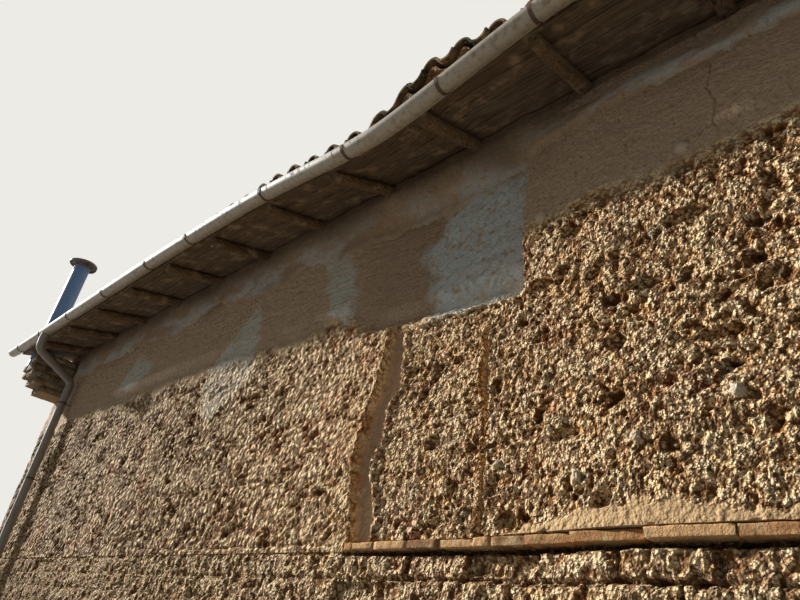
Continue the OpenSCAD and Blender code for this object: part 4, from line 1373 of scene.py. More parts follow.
@dataclass
class WallSolid:
    """Closed stretch of wall with a worked outer face: a plan loop carried up, pushed out by a relief.

    The loop is built as a front: its outer stretch runs from left to right on y = -face, and the inner face
    is at y = -inner. An end that shows is part of the outer stretch, which goes on round the corner.
    """

    xs: Array
    zs: Array
    face: float
    inner: float
    relief: Relief
    left_end: bool = False
    right_end: bool = False
    end_step: float = 0.05
    edge_radius: float = 0.035
    end_painted_shade: float = 0.75
    tops: Callable[[Array], Array] | None = None

    def plan(self) -> tuple[Array, Array, Array, Array]:
        """Outer stretch of the loop.

        Returns:
            Place along the unrolled face, points, directions out, and distance to the nearest shown corner.
        """
        depth = self.face - self.inner
        deep = np.linspace(depth, 0, max(2, int(depth / self.end_step)) + 1)[:-1]
        s, xy = [self.xs], [at(self.xs, -self.face)]
        out = [np.tile([0.0, -1.0], (len(self.xs), 1))]
        ends = [(0, -1.0, deep)] if self.left_end else []
        ends += [(-1, 1.0, deep[::-1])] if self.right_end else []
        corner = np.array([self.xs[end] for end, _, _ in ends])
        for end, way, back in ends:
            x = self.xs[end]
            out[end][end] = (way, -1)
            where = 0 if end == 0 else len(s)
            s.insert(where, x + way * back)
            xy.insert(where, at(x, back - self.face))
            out.insert(where, np.tile([way, 0.0], (len(back), 1)))
        s = np.concatenate(s)
        away = np.abs(s[:, None] - corner).min(1, initial=9.0)
        return s, np.concatenate(xy), np.concatenate(out), away

    def shape(self) -> Shape:
        """The closed solid: rows of the loop one above the other, with a flat cap below and above."""
        s, xy, out, corner = self.plan()
        back = [(self.xs[-1], -self.inner)] * (not self.right_end)
        back += [(self.xs[0], -self.inner)] * (not self.left_end)
        plan = np.concatenate([xy, np.array(back).reshape(-1, 2)])
        z = np.broadcast_to(self.zs[:, None], (len(self.zs), len(plan))).copy()
        if self.tops is not None:
            share = (self.zs - self.zs[0]) / (self.zs[-1] - self.zs[0])
            z = self.zs[0] + share[:, None] * (self.tops(plan[:, 0]) - self.zs[0])
        n, rows = len(s), len(self.zs)
        push, fall, marks = self.relief(s[None], z[:, :n])
        # Painted shade: the end faces that turn round the corners are darkened.
        if "grime" in marks:
            marks["grime"] = marks["grime"] + self.end_painted_shade * ((s < self.xs[0]) | (s > self.xs[-1]))
        short = np.clip(1 - corner / self.edge_radius, 0, 1)
        push = push - self.edge_radius * (1 - np.sqrt(1 - short**2)) * 0.8
        points = at(*plan.T, z)
        points[:, :n, :2] += out * push[..., None]
        points[1:-1, :n, 2] -= fall[1:-1]
        numbers = {}
        for key, values in marks.items():
            inner = np.full((rows, len(back)), 0.5 if key == "height" else 0.0)
            numbers[key] = np.concatenate([np.broadcast_to(values, (rows, n)), inner], 1).ravel()
        return Shape(points.reshape(-1, 3), capped(rows, len(plan)), numbers)


def spaced(*stretches: tuple[float, float, float]) -> Array:
    """Places from stretches of (start, end, step), each filled evenly."""
    made = [np.linspace(a, b, max(1, round((b - a) / step)) + 1) for a, b, step in stretches]
    return np.unique(np.round(np.concatenate(made), 6))


@dataclass
class EarthWalls:
    """The walls: rammed earth above the string course and adobe blocks below it, with their openings."""

    massing: Massing
    finishes: Finishes
    near_step: float = 0.0080
    pier_step: float = 0.0078
    middle_step: float = 0.0115
    far_step: float = 0.021
    hidden_step: float = 0.040
    eave_z: float = 4.15
    view_x: float = 3.9
    view_z: float = 1.86
    front: FrontErosion = field(default_factory=FrontErosion)
    adobe: AdobeCourses = field(default_factory=AdobeCourses)

    def solid(self, xs: Array, zs: Array, relief: Relief, **more: object) -> Shape:
        """Stretch of a long wall between its outer and inner face."""
        return WallSolid(xs, zs, self.massing.face_y, self.massing.inner_y, relief, **more).shape()

    def stretches(self, relief: Relief, *blocks: tuple[Span, Span, dict[str, bool]]) -> Shape:
        """Stretches of the back wall, each from its span along the wall, its span of height and its ends."""
        made = []
        for x, z, ends in blocks:
            xs, zs = spaced((*x, self.hidden_step)), spaced((*z, self.hidden_step))
            made.append(self.solid(xs, zs, relief, **ends))
        return joined(made).turned(Side.BACK.value)

    def build_front(self) -> None:
        """Makes the four panels of rammed earth on the front."""
        m, low, high = self.massing, self.massing.course_z, self.massing.wall_top
        joint, channel = self.front.joint_x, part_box("front_wall_pier")[0].x
        far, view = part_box("front_wall_far")[1].x, self.view_x
        near_xs = spaced((joint, view, self.near_step), (view, 4.22, 0.013), (4.22, m.half_l, 0.046))
        pier_xs = spaced((channel, joint, self.pier_step))
        middle_xs = spaced((far, channel, self.middle_step))
        far_xs = spaced((-m.half_l, far, self.far_step))
        for name, xs, step, ends in (
            ("near", near_xs, self.near_step, {"right_end": True}),
            ("pier", pier_xs, self.pier_step, {}),
            ("middle", middle_xs, self.middle_step, {}),
            ("far", far_xs, self.far_step * 0.75, {"left_end": True}),
        ):
            zs = spaced((low, self.eave_z, step), (self.eave_z, high, step * 1.6))
            shape, node = self.solid(xs, zs, self.front.relief, **ends), f"front_wall_{name}"
            place(f"{node}_face", shape, self.finishes.front_earth, [node], facets=True)

    def build_base(self) -> None:
        """Makes the front wall of adobe blocks below the string course."""
        m, half, view = self.massing, self.massing.half_l, self.view_z
        xs = spaced((-half, -1.5, 0.034), (-1.5, 1.3, 0.018), (1.3, 3.8, 0.0105), (3.8, half, 0.04))
        zs = spaced((m.plinth_top, 1.65, 0.044), (1.65, view, 0.022), (view, m.course_z, 0.011))
        shape = self.solid(xs, zs, self.adobe.relief, left_end=True, right_end=True)
        nodes = ["front_adobe_base"]
        place("front_adobe_face", shape, self.finishes.adobe, nodes, facets=True)

    def build_back(self) -> None:
        """Makes the back wall as closed stretches beside, under and over the door and the window."""
        m, half, earth = self.massing, self.massing.half_l, self.finishes.front_earth
        door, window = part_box("door_frame"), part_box("window_frame")
        d0, d1, w0, w1 = -door[1].x, -door[0].x, -window[1].x, -window[0].x
        sill, head, over = window[0].z, window[1].z, door[1].z
        split = -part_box("back_wall_door_side")[0].x
        relief = PlainErosion(501).relief
        blocks = AdobeCourses(salt=601, first_joint=0.3, washed=1.0).relief
        low, mid, high = m.plinth_top, m.course_z, m.wall_top
        left, right = {"left_end": True}, {"right_end": True}
        base = self.stretches(
            blocks, ((-half, d0), (low, mid), left), ((d1, w0), (low, mid), {}), ((w0, w1), (low, sill), {}),
            ((w0, w1), (head, mid), {}), ((w1, half), (low, mid), right),
        )
        place("back_adobe_face", base, self.finishes.adobe, ["back_adobe_base"])
        door_side = self.stretches(
            relief, ((-half, d0), (mid, high), left), ((d0, d1), (over, high), {}),
            ((d1, split), (mid, high), {}),
        )
        place("back_wall_door_face", door_side, earth, ["back_wall_door_side"])
        window_side = self.stretches(relief, ((split, half), (mid, high), right))
        place("back_wall_window_face", window_side, earth, ["back_wall_window_side"])

    def build_ends(self) -> None:
        """Makes both end walls, each with a gable top under the boards."""
        m, step = self.massing, self.hidden_step * 1.25
        for name, quarters, salt in (("left_party_wall", 3, 701), ("right_party_wall", 1, 801)):
            low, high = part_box(name)
            xs, zs = spaced((-m.inner_y, m.inner_y, step)), spaced((m.plinth_top, high.z, step))
            relief, inner = PlainErosion(salt, strength=0.6).relief, m.half_l - (high.x - low.x)
            wall = WallSolid(xs, zs, m.half_l, inner, relief, tops=lambda x: m.underside(x) - UNDER_BOARDS)
            shape = wall.shape().turned(quarters)
            # The end walls take the darker copy of the earth, as painted shade.
            place(f"{name}_face", shape, self.finishes.end_earth, [name])

    def build(self) -> None:
        """Makes every wall."""
        self.build_front()
        self.build_base()
        self.build_back()
        self.build_ends()


@dataclass
class LimeCoats:
    """Coats of grey lime: the band under each eave and the patch beside the near panel."""

    massing: Massing
    finishes: Finishes
    front: FrontErosion
    thickness: float = 0.02
    band_z: float = 4.66
    under: float = 0.06
    patch: Outline = (
        (1.66, 3.60), (1.64, 3.80), (1.52, 4.12), (1.44, 4.42), (1.62, 4.50), (1.70, 4.75), (2.70, 4.75),
        (2.70, 3.62),
    )

    def band_edge(self, x: Array) -> Array:
        """Lower edge of the band: level over the near panel, and dipping in long tongues left of it."""
        tongues = 0.12 * waves(x, 1.1, 903) + 0.05 * waves(x, 4, 904)
        return self.band_z + blend(tongues - 0.04, 0.018 * waves(x, 6, 905), smooth(x, 2.4, 2.7))

    def front_band(self, x: Array, z: Array) -> Field:
        """Rough coat above the ragged edge, and dipping behind the wall's face below it."""
        x = np.broadcast_to(x, z.shape)
        level, _, _ = self.front.levels(x, np.minimum(z, self.band_z - 0.06))
        ragged = z - self.band_edge(x) + 0.03 * uneven(x, z, 9, 906)
        there = smooth(ragged, -0.012, 0.02) * smooth(x, -5.35, -5.2)
        rough = 0.007 * uneven(x, z, 14, 907) + 0.012 * uneven(x, z, 2.5, 908, 2)
        covered = level * smooth(z, 4.96, 4.70) + self.thickness + rough
        out = blend(np.minimum(level, 0) - self.under, covered + 0.008, there)
        film = smooth(layered(x * 2.2, z * 5, 911), -0.5, 0.5) * smooth(ragged, -0.02, 0.05)
        return out, np.zeros_like(out), {
            "tint": 0.5 + 0.4 * ripple(x * 10, z * 10, 910),
            "height": 0.55 + rough * 20,
            # Darker towards the top of the band, under the boards.
            "grime": smooth(z + 0.08 * ripple(x * 2, z * 2, 909), 4.70, 5.02) * 0.8,
            "lime": 0.65 * film * smooth(z, 4.95, 4.72),
            "rough": np.full_like(z, 0.25),
            "grainy": np.full_like(z, 0.3),
        }

    def back_band(self, x: Array, z: Array) -> Field:
        """The same band on the plain back face."""
        x = np.broadcast_to(x, z.shape)
        ragged = z - self.band_z - 0.06 * waves(x, 1.7, 913) + 0.03 * uneven(x, z, 7, 916)
        rough = 0.008 * uneven(x, z, 12, 917)
        out = blend(-self.under, self.thickness + 0.012 + rough, smooth(ragged, -0.015, 0.025))
        return out, np.zeros_like(out), {
            "tint": 0.5 + 0.4 * ripple(x * 10, z * 10, 918),
            "height": 0.55 + rough * 20,
            # Darker towards the top of the band, under the boards.
            "grime": smooth(z, 4.8, 5.02),
            "lime": np.full_like(z, 0.7),
            "rough": np.full_like(z, 0.25),
        }

    def patch_coat(self, x: Array, z: Array) -> Field:
        """Coat on the back of the hollow: trowelled, chipped, holed, and worn to bare earth at its edge."""
        x = np.broadcast_to(x, z.shape)
        level, _, _ = self.front.levels(x, z)
        torn = 0.03 * uneven(x, z, 8, 921)
        depth = inside(x + torn, z + torn, self.patch)
        chips = smooth(ripple(x * 30, z * 24, 922), 0.45, 0.7)
        rough = 0.006 * uneven(x, z, 11, 923) + 0.010 * uneven(x, z, 2.4, 924, 2) - 0.009 * chips
        rough += 0.007 * layered((x + z) * 5, (z - x) * 16, 927)
        foot = smooth(z, 3.78, 3.60)
        bits, tint = clods(x, z, 0.035, 925, 0.7)
        there = smooth(depth, -0.006, 0.02) * smooth(x, 2.592, 2.572)
        out = level + blend(-0.05, 0.014 + rough + foot * 0.014 * bits, there)
        return out, np.zeros_like(out), {
            "tint": 0.45 + 0.5 * foot * tint,
            "height": 0.62 + rough * 18 - 0.4 * chips,
            "lime": smooth(depth + 0.10 * uneven(x, z, 2.3, 926), 0.0, 0.16) * smooth(x, 2.59, 2.54),
            "rough": 0.25 + 0.5 * foot,
            # Darker towards the top of the coat.
            "grime": 0.35 * smooth(z, 4.4, 4.95),
            "grainy": 0.35 + 0.6 * foot,
        }

    def build(self) -> None:
        """Makes the three coats as thin closed slabs that stand out of the wall where they still hold."""
        m, half, top = self.massing, self.massing.half_l, self.massing.board_z - UNDER_BOARDS
        front_xs = spaced((-5.32, 1.0, 0.036), (1.0, 4.2, 0.018), (4.2, half, 0.06))
        back_xs, patch_xs = spaced((-half, half, 0.06)), spaced((1.38, 2.63, 0.012))
        front_zs, back_zs = spaced((4.46, top, 0.018)), spaced((4.5, top, 0.03))
        patch_zs = spaced((3.52, 4.76, 0.012))
        for name, xs, zs, thick, relief, quarters, node in (
            ("front_eave_lime", front_xs, front_zs, 0.26, self.front_band, 0, "front_eave_render"),
            ("back_eave_lime", back_xs, back_zs, 0.09, self.back_band, 2, "back_eave_render"),
            ("front_lime_coat", patch_xs, patch_zs, 0.25, self.patch_coat, 0, "front_lime_patch"),
        ):
            slab = WallSolid(xs, zs, m.face_y, m.face_y - thick, relief).shape().turned(quarters)
            place(name, slab, self.finishes.lime_coat, [node])


@dataclass
class Plinth:
    """Fieldstone foot of the walls and the worn step in the doorway."""

    massing: Massing
    finishes: Finishes
    step: float = 0.045
    end_thick: float = 0.55

    def stretch(self, x0: float, x1: float, face: float, inner: float, salt: int, **ends: bool) -> Shape:
        """Length of plinth between two places, its outer face made of fieldstones."""
        xs, zs = spaced((x0, x1, self.step)), spaced((0.0, self.massing.plinth_top, self.step))
        return WallSolid(xs, zs, face, inner, Rubble(salt).relief, **ends).shape()

    def build(self) -> None:
        """Makes the plinth as closed stretches, open at the door, and the step."""
        m, (low, high), door = self.massing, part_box("stone_plinth"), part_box("door_step")
        face, half = -low.y, high.x
        long = (face, m.inner_y, Rubble.salt)
        made = [
            self.stretch(-half, half, *long, left_end=True, right_end=True),
            self.stretch(-half, -door[1].x, *long, left_end=True).turned(2),
            self.stretch(-door[0].x, half, *long, right_end=True).turned(2),
        ]
        for salt, quarters in ((431, 3), (461, 1)):
            end = self.stretch(-m.inner_y, m.inner_y, half, half - self.end_thick, salt)
            made.append(end.turned(quarters))
        place("rubble_plinth", joined(made), self.finishes.stones, ["stone_plinth"])
        worn = lumps(np.array([tuple(door[0])]), np.array([tuple(door[1])]), 0.03, 0.006, 77, facets=12)
        worn.points[:, 2] = np.maximum(worn.points[:, 2], 0)
        place("worn_door_step", worn, self.finishes.stones, ["door_step"], crease=60)


@dataclass
class StringCourse:
    """Course of flat bricks that stands out of the wall, worn thin to the left."""

    massing: Massing
    finishes: Finishes
    front: FrontErosion
    joints: tuple[float, ...] = (
        1.34, 1.42, 1.60, 1.86, 2.08, 2.31, 2.42, 2.62, 2.87, 3.21, 3.56, 3.86, 4.16, 4.46, 4.76, 5.05,
        5.34, 5.60, 5.75,
    )
    brick_l: float = 0.29
    gap: float = 0.006
    reach: float = 0.042

    def row(self, edges: Array, salt: int, side: Side, facets: int) -> Shape:
        """Bricks between neighbouring edges, each of its own reach, dip and thickness.

        Args:
            edges: Places of the joints.
            salt: Number of the pattern.
            side: Long side that they lie on. At the front, bricks to the left are worn thin.
            facets: Grid cells along each edge of a brick.

        Returns:
            The bricks, made for the front.
        """
        i = np.arange(len(edges) - 1)
        start, end = edges[:-1], edges[1:]
        low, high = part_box("brick_string_courses")
        tall, face = high.z - low.z, self.massing.face_y
        dice = [lattice(i, i * 0, salt + k) for k in range(4)]
        at_front = side is Side.FRONT
        worn = smooth(start, 2.45, 1.95) * at_front
        reach = self.reach - 0.012 * dice[0] - 0.012 * worn + (self.front.foot(start) - 0.02) * at_front
        thick = tall * (1 - 0.45 * worn * dice[1])
        foot = low.z + 0.002 * (dice[2] - 0.5) + 0.4 * worn * (tall - thick)
        lows = at(start + self.gap / 2, -face - reach, foot)
        highs = at(end - self.gap / 2, -face + 0.1, foot + thick)
        return lumps(lows, highs, 0.008, 0.005, salt, facets)

    def build(self) -> None:
        """Makes the bricks of the front and of both stretches of the back."""
        m, door = self.massing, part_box("door_lintel")
        made = [self.row(np.array(self.joints), 1001, Side.FRONT, facets=9)]
        for x0, x1 in ((-m.half_l, -door[1].x), (-door[0].x, m.half_l)):
            edges = np.linspace(x0, x1, round((x1 - x0) / self.brick_l) + 1)
            made.append(self.row(edges, 1011, Side.BACK, facets=3).turned(2))
        nodes = ["brick_string_courses"]
        place("string_bricks", joined(made), self.finishes.bricks, nodes, crease=70)


@dataclass
class EaveTimber:
    """Pole rafters and the boards on them, which have sunk with the front eave."""

    massing: Massing
    finishes: Finishes
    sag: EaveSag
    pole_r: float = 0.0475
    pole_count: int = 12
    tail_reach: float = 0.64
    board_w: float = 0.165
    rafter_pitch: float = 1.77

    def pole(self, x: float, salt: int) -> Shape:
        """Barked pole up the slope: a circle whose radius swells at knots, on a line that bows a little."""
        m = self.massing
        v = spaced((-m.uphill(self.tail_reach), 0.2, 0.05), (0.2, m.uphill(m.face_y) - 0.02, 0.3))
        path = m.on_slope(x + 0.010 * ripple(v * 0.8, v * 0 + x, salt), v, -self.pole_r - 0.001)
        turn = np.linspace(0, math.tau, 18, endpoint=False)
        knots = 1.02 + 0.07 * ripple(v[:, None] * 5, turn[None] * 0 + salt, salt)
        bark = 0.003 * ripple(v[:, None] * 14, np.cos(turn)[None] * 2 + 3 * np.sin(turn)[None], salt + 1)
        section = circle(turn) * (self.pole_r * knots + bark)[..., None]
        return sweep(section, path, (0, 0, 1)).tinted(lattice(salt, 5, 3))

    def boards(self, salt: int) -> Shape:
        """Boards along the eave, each a round-edged outline carried between joints on the rafters."""
        m, thick = self.massing, self.massing.board_t
        low, high = -m.uphill(m.board_reach), m.uphill(m.face_y) - 0.004
        rows = int((high - low) / self.board_w)
        width = (high - low) / rows
        up = (0, -math.sin(m.pitch), math.cos(m.pitch))
        made = []
        for row in range(rows):
            dice = lattice(np.arange(6), np.full(6, row), salt)
            first = -3.19 + self.rafter_pitch * round(2 * dice[0])
            second = 2.12 + self.rafter_pitch * round(dice[1])
            ends = [-m.verge_x, first, second, m.verge_x]
            step = 0.12 if low + row * width < 0.1 else 0.9
            for part, (x0, x1) in enumerate(zip(ends, ends[1:])):
                x = spaced((x0 + 0.003, x1 - 0.003, step))
                lift = thick / 2 + 0.002 * ripple(x * 2, x * 0 + row, salt + part)
                gap = 0.004 + 0.005 * dice[2 + part % 3]
                path = m.on_slope(x, low + (row + 0.5) * width, lift)
                board = sweep(oblong(width - gap, thick, 0.003, steps=1), path, up)
                made.append(board.tinted(lattice(row, part, salt + 9)))
        return joined(made)

    def build(self) -> None:
        """Makes both sets of poles and boards."""
        low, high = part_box("front_rafters")
        xs = np.linspace(low.x + self.pole_r, high.x - self.pole_r, self.pole_count)
        for side in Side:
            poles = joined([self.pole(x, 1100 + i * 7) for i, x in enumerate(xs)])
            for name, shape, finish, slot, node, crease in (
                ("poles", poles, self.finishes.poles, "roof_timber", "rafters", 0),
                ("eave_boards", self.boards(1301), self.finishes.boards, "roof_boarding", "roof_boards", 40),
            ):
                shape = self.sag.settled(shape, side, self.massing).turned(side.value)
                place(f"{side.word}_{name}", shape, finish, [f"{side.word}_{node}"], crease)


@dataclass
class TileRoof:
    """Barrel tiles: channel tiles on a bed, cover tiles over their gaps, and a row along the ridge."""

    massing: Massing
    finishes: Finishes
    sag: EaveSag
    pitch: float = 0.245
    cover_r: float = 0.082
    channel_r: float = 0.092
    ridge_r: float = 0.108
    length: float = 0.45
    exposure: float = 0.335
    clay: float = 0.014
    ridge_count: int = 32

    @property
    def columns(self) -> int:
        """Number of channel tiles from verge to verge."""
        return int(2 * self.massing.verge_x / self.pitch)

    def rings(
        self, radius: float, ends: tuple[float, float], half_deg: float, segments: int
    ) -> tuple[Array, Array]:
        """Both ends of a barrel tile: an outline along its outer arc and back along its inner arc.

        Args:
            radius: Outer radius at the wide end.
            ends: Share of that radius at the lower and at the upper end.
            half_deg: Angle from the crown to either edge.
            segments: Facets of each arc.

        Returns:
            Radius of each point, (2, k), and its angle from the crown, (k,).
        """
        half = math.radians(half_deg)
        angle = np.linspace(-half, half, segments + 1)
        clay = np.repeat((0.0, self.clay), segments + 1)
        return radius * np.array(ends)[:, None] - clay, np.concatenate([angle[::-1], angle])

    def laid(
        self, x: Array, v: Array, centre_w: float, radius: float, crown: int, salt: int, segments: int
    ) -> Shape:
        """Tiles as copies of one shell: each is turned, shifted and tinted by its own hashed numbers.

        Args:
            x: Middle line of each tile.
            v: Lower end of each tile, up the slope.
            centre_w: Height of the barrel's axis over the boards' underside.
            radius: Outer radius at the wide end.
            crown: 1 for cover tiles, which narrow up the slope, and -1 for channels, which narrow down it.
            salt: Number of the pattern.
            segments: Facets round each tile.

        Returns:
            All the tiles, on the front slope.
        """
        i, station = np.arange(len(x)), np.array([0.0, 1.0])
        dice = [lattice(i, i * 0 + 3, salt + k)[:, None] for k in range(7)]
        ends, half_deg = ((1.0, 0.86), 84) if crown > 0 else ((0.86, 1.0), 66)
        r, turn = self.rings(radius, ends, half_deg, segments)
        r = r[None] * (1 + 0.04 * (dice[0][..., None] - 0.5))
        along = v[:, None] + 0.012 * (dice[2] - 0.5) + station * self.length * (0.97 + 0.05 * dice[1])
        across = (x[:, None] + 0.01 * (dice[5] - 0.5))[..., None] + r * np.sin(turn)
        across = across + (0.035 * (dice[3] - 0.5) * station)[..., None]
        tilt = 0.028 * (1 - station) + 0.006 * (dice[4] - 0.5)
        height = centre_w + r * np.cos(turn) * crown + tilt[..., None]
        points = self.massing.on_slope(across, along[..., None], height)
        size = 2 * len(turn)
        faces = repeated(capped(2, len(turn)), len(x), size)
        if crown > 0:
            faces = [f[:, ::-1] for f in faces]
        return Shape(points.reshape(-1, 3), faces, {"tint": np.repeat(dice[6], size)})

    def slope(self, side: Side) -> Shape:
        """All cover and channel tiles of one slope, finer along the eave where their ends show."""
        m, at_front = self.massing, side is Side.FRONT
        columns, reach = self.columns, m.half_l + 0.018
        first = -(columns - 1) * self.pitch / 2
        low, high = -m.uphill(m.tile_reach), m.uphill(m.face_y) - 0.10
        rows = int((high - low) / self.exposure)
        exposure = (high - low - self.length) / (rows - 1)
        cover_x = np.clip(first + (np.arange(columns + 1) - 0.5) * self.pitch, -reach, reach)
        channel_x = first + np.arange(columns) * self.pitch
        made = []
        for row in range(rows):
            facets = 12 if row < 2 and at_front else 6
            slid = float(row == 0 and at_front)
            for x, drop, axis_w, radius, crown, salt, segments in (
                (cover_x, 0.0, 0.067, self.cover_r, 1, 2000, facets),
                (channel_x, 0.02, 0.132, self.channel_r, -1, 3000, facets - 2),
            ):
                v = low + row * exposure - drop - slid * self.sag.slipped(x)
                made.append(self.laid(x, v, axis_w, radius, crown, salt + 11 * row, segments))
        return self.fitted(joined(made), side)

    def fitted(self, shape: Shape, side: Side) -> Shape:
        """The shape, which at the front is sunk, with points in the flue's hole drawn to its edge."""
        if side is Side.FRONT:
            shape = self.sag.settled(shape, side, self.massing)
            x, y, radius = upright("flue_pipe")
            centre, radius = np.array([x, y]), radius + 0.004
            away = shape.points[:, :2] - centre
            distance = np.linalg.norm(away, axis=1, keepdims=True)
            pushed = centre + away / np.maximum(distance, 1e-6) * radius
            shape.points[:, :2] = np.where(distance < radius, pushed, shape.points[:, :2])
        return shape

    def bed(self, side: Side) -> Shape:
        """Earth and mortar under the tiles: low in the channels and packed up into the covers."""
        m, at_front, end = self.massing, side is Side.FRONT, self.massing.verge_x - 0.006
        x = spaced((-end, end, self.pitch / (8 if at_front else 4)))
        place_in_row = x / self.pitch + self.columns / 2
        off = np.abs(place_in_row - np.round(place_in_row)) * self.pitch
        fill = np.sqrt(np.clip(0.062**2 - off**2, 0, None))
        v = spaced((-m.uphill(m.tile_reach) + 0.012, 0.1, 0.09), (0.1, m.uphill(m.face_y) - 0.06, 1.6))
        top = m.board_t + 0.014 + fill[None] * 1.25 + 0.006 * layered(x[None] * 14, v[:, None] * 9, 2901)
        ragged = 0.012 * waves(x, 17, 2902) - (self.sag.slipped(x) if at_front else 0)
        along = v[:, None] + np.where(np.arange(len(v))[:, None] == 0, ragged, 0)
        upper, lower = m.on_slope(x[None], along, top), m.on_slope(x[None], along, m.board_t + 0.001)
        points = np.concatenate([upper, lower[:, ::-1]], axis=1)
        same = np.ones(points[..., 0].size)
        marks = {"tint": 0.4 * same, "height": 0.5 * same, "rough": 0.9 * same, "grainy": same}
        return self.fitted(Shape(points.reshape(-1, 3), capped(*points.shape[:2]), marks), side)

    def ridge(self) -> Shape:
        """Ridge tiles along X: the same shells on a level line, each over the narrow end of the next."""
        low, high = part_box("ridge_tiles")
        i, station = np.arange(self.ridge_count), np.array([0.0, 1.0])
        dice = [lattice(i, i * 0 + 9, 4000 + k)[:, None] for k in range(4)]
        r, turn = self.rings(self.ridge_r, (1.0, 0.87), 88, 12)
        r = r[None] * (1 - 0.03 * dice[0][..., None])
        x = low.x + i[:, None] * ((high.x - low.x - self.length) / (len(i) - 1)) + station * self.length
        y = 0.008 * (dice[1] - 0.5)[..., None] + r * np.sin(turn)
        axis_z = high.z - self.ridge_r - 0.004 * dice[2] - 0.012 * station
        points = at(x[..., None], y, axis_z[..., None] + r * np.cos(turn))
        size = 2 * len(turn)
        faces, tint = repeated(capped(2, len(turn)), len(i), size), np.repeat(dice[3], size)
        tiles = Shape(points.reshape(-1, 3), faces, {"tint": tint})
        bed_x = spaced((low.x + 0.01, high.x - 0.01, 0.12))
        section = oblong(0.20, 0.11, 0.02)[None] * (1 + 0.05 * waves(bed_x, 3, 4010)[:, None, None])
        bed = sweep(section, at(bed_x, 0.0, high.z - self.ridge_r - 0.03), (0, 0, 1))
        return joined([tiles, bed.tinted(0.9)])

    def build(self) -> None:
        """Makes the beds, the tiles of both slopes and the ridge."""
        clay = self.finishes.tiles
        for side in Side:
            tiles, bed = (made.turned(side.value) for made in (self.slope(side), self.bed(side)))
            place(f"{side.word}_barrel_tiles", tiles, clay, [f"{side.word}_tiles"], crease=50)
            place(f"{side.word}_tile_bed", bed, self.finishes.packed_earth)
        place("ridge_barrel_tiles", self.ridge(), clay, ["ridge_tiles"], crease=50)


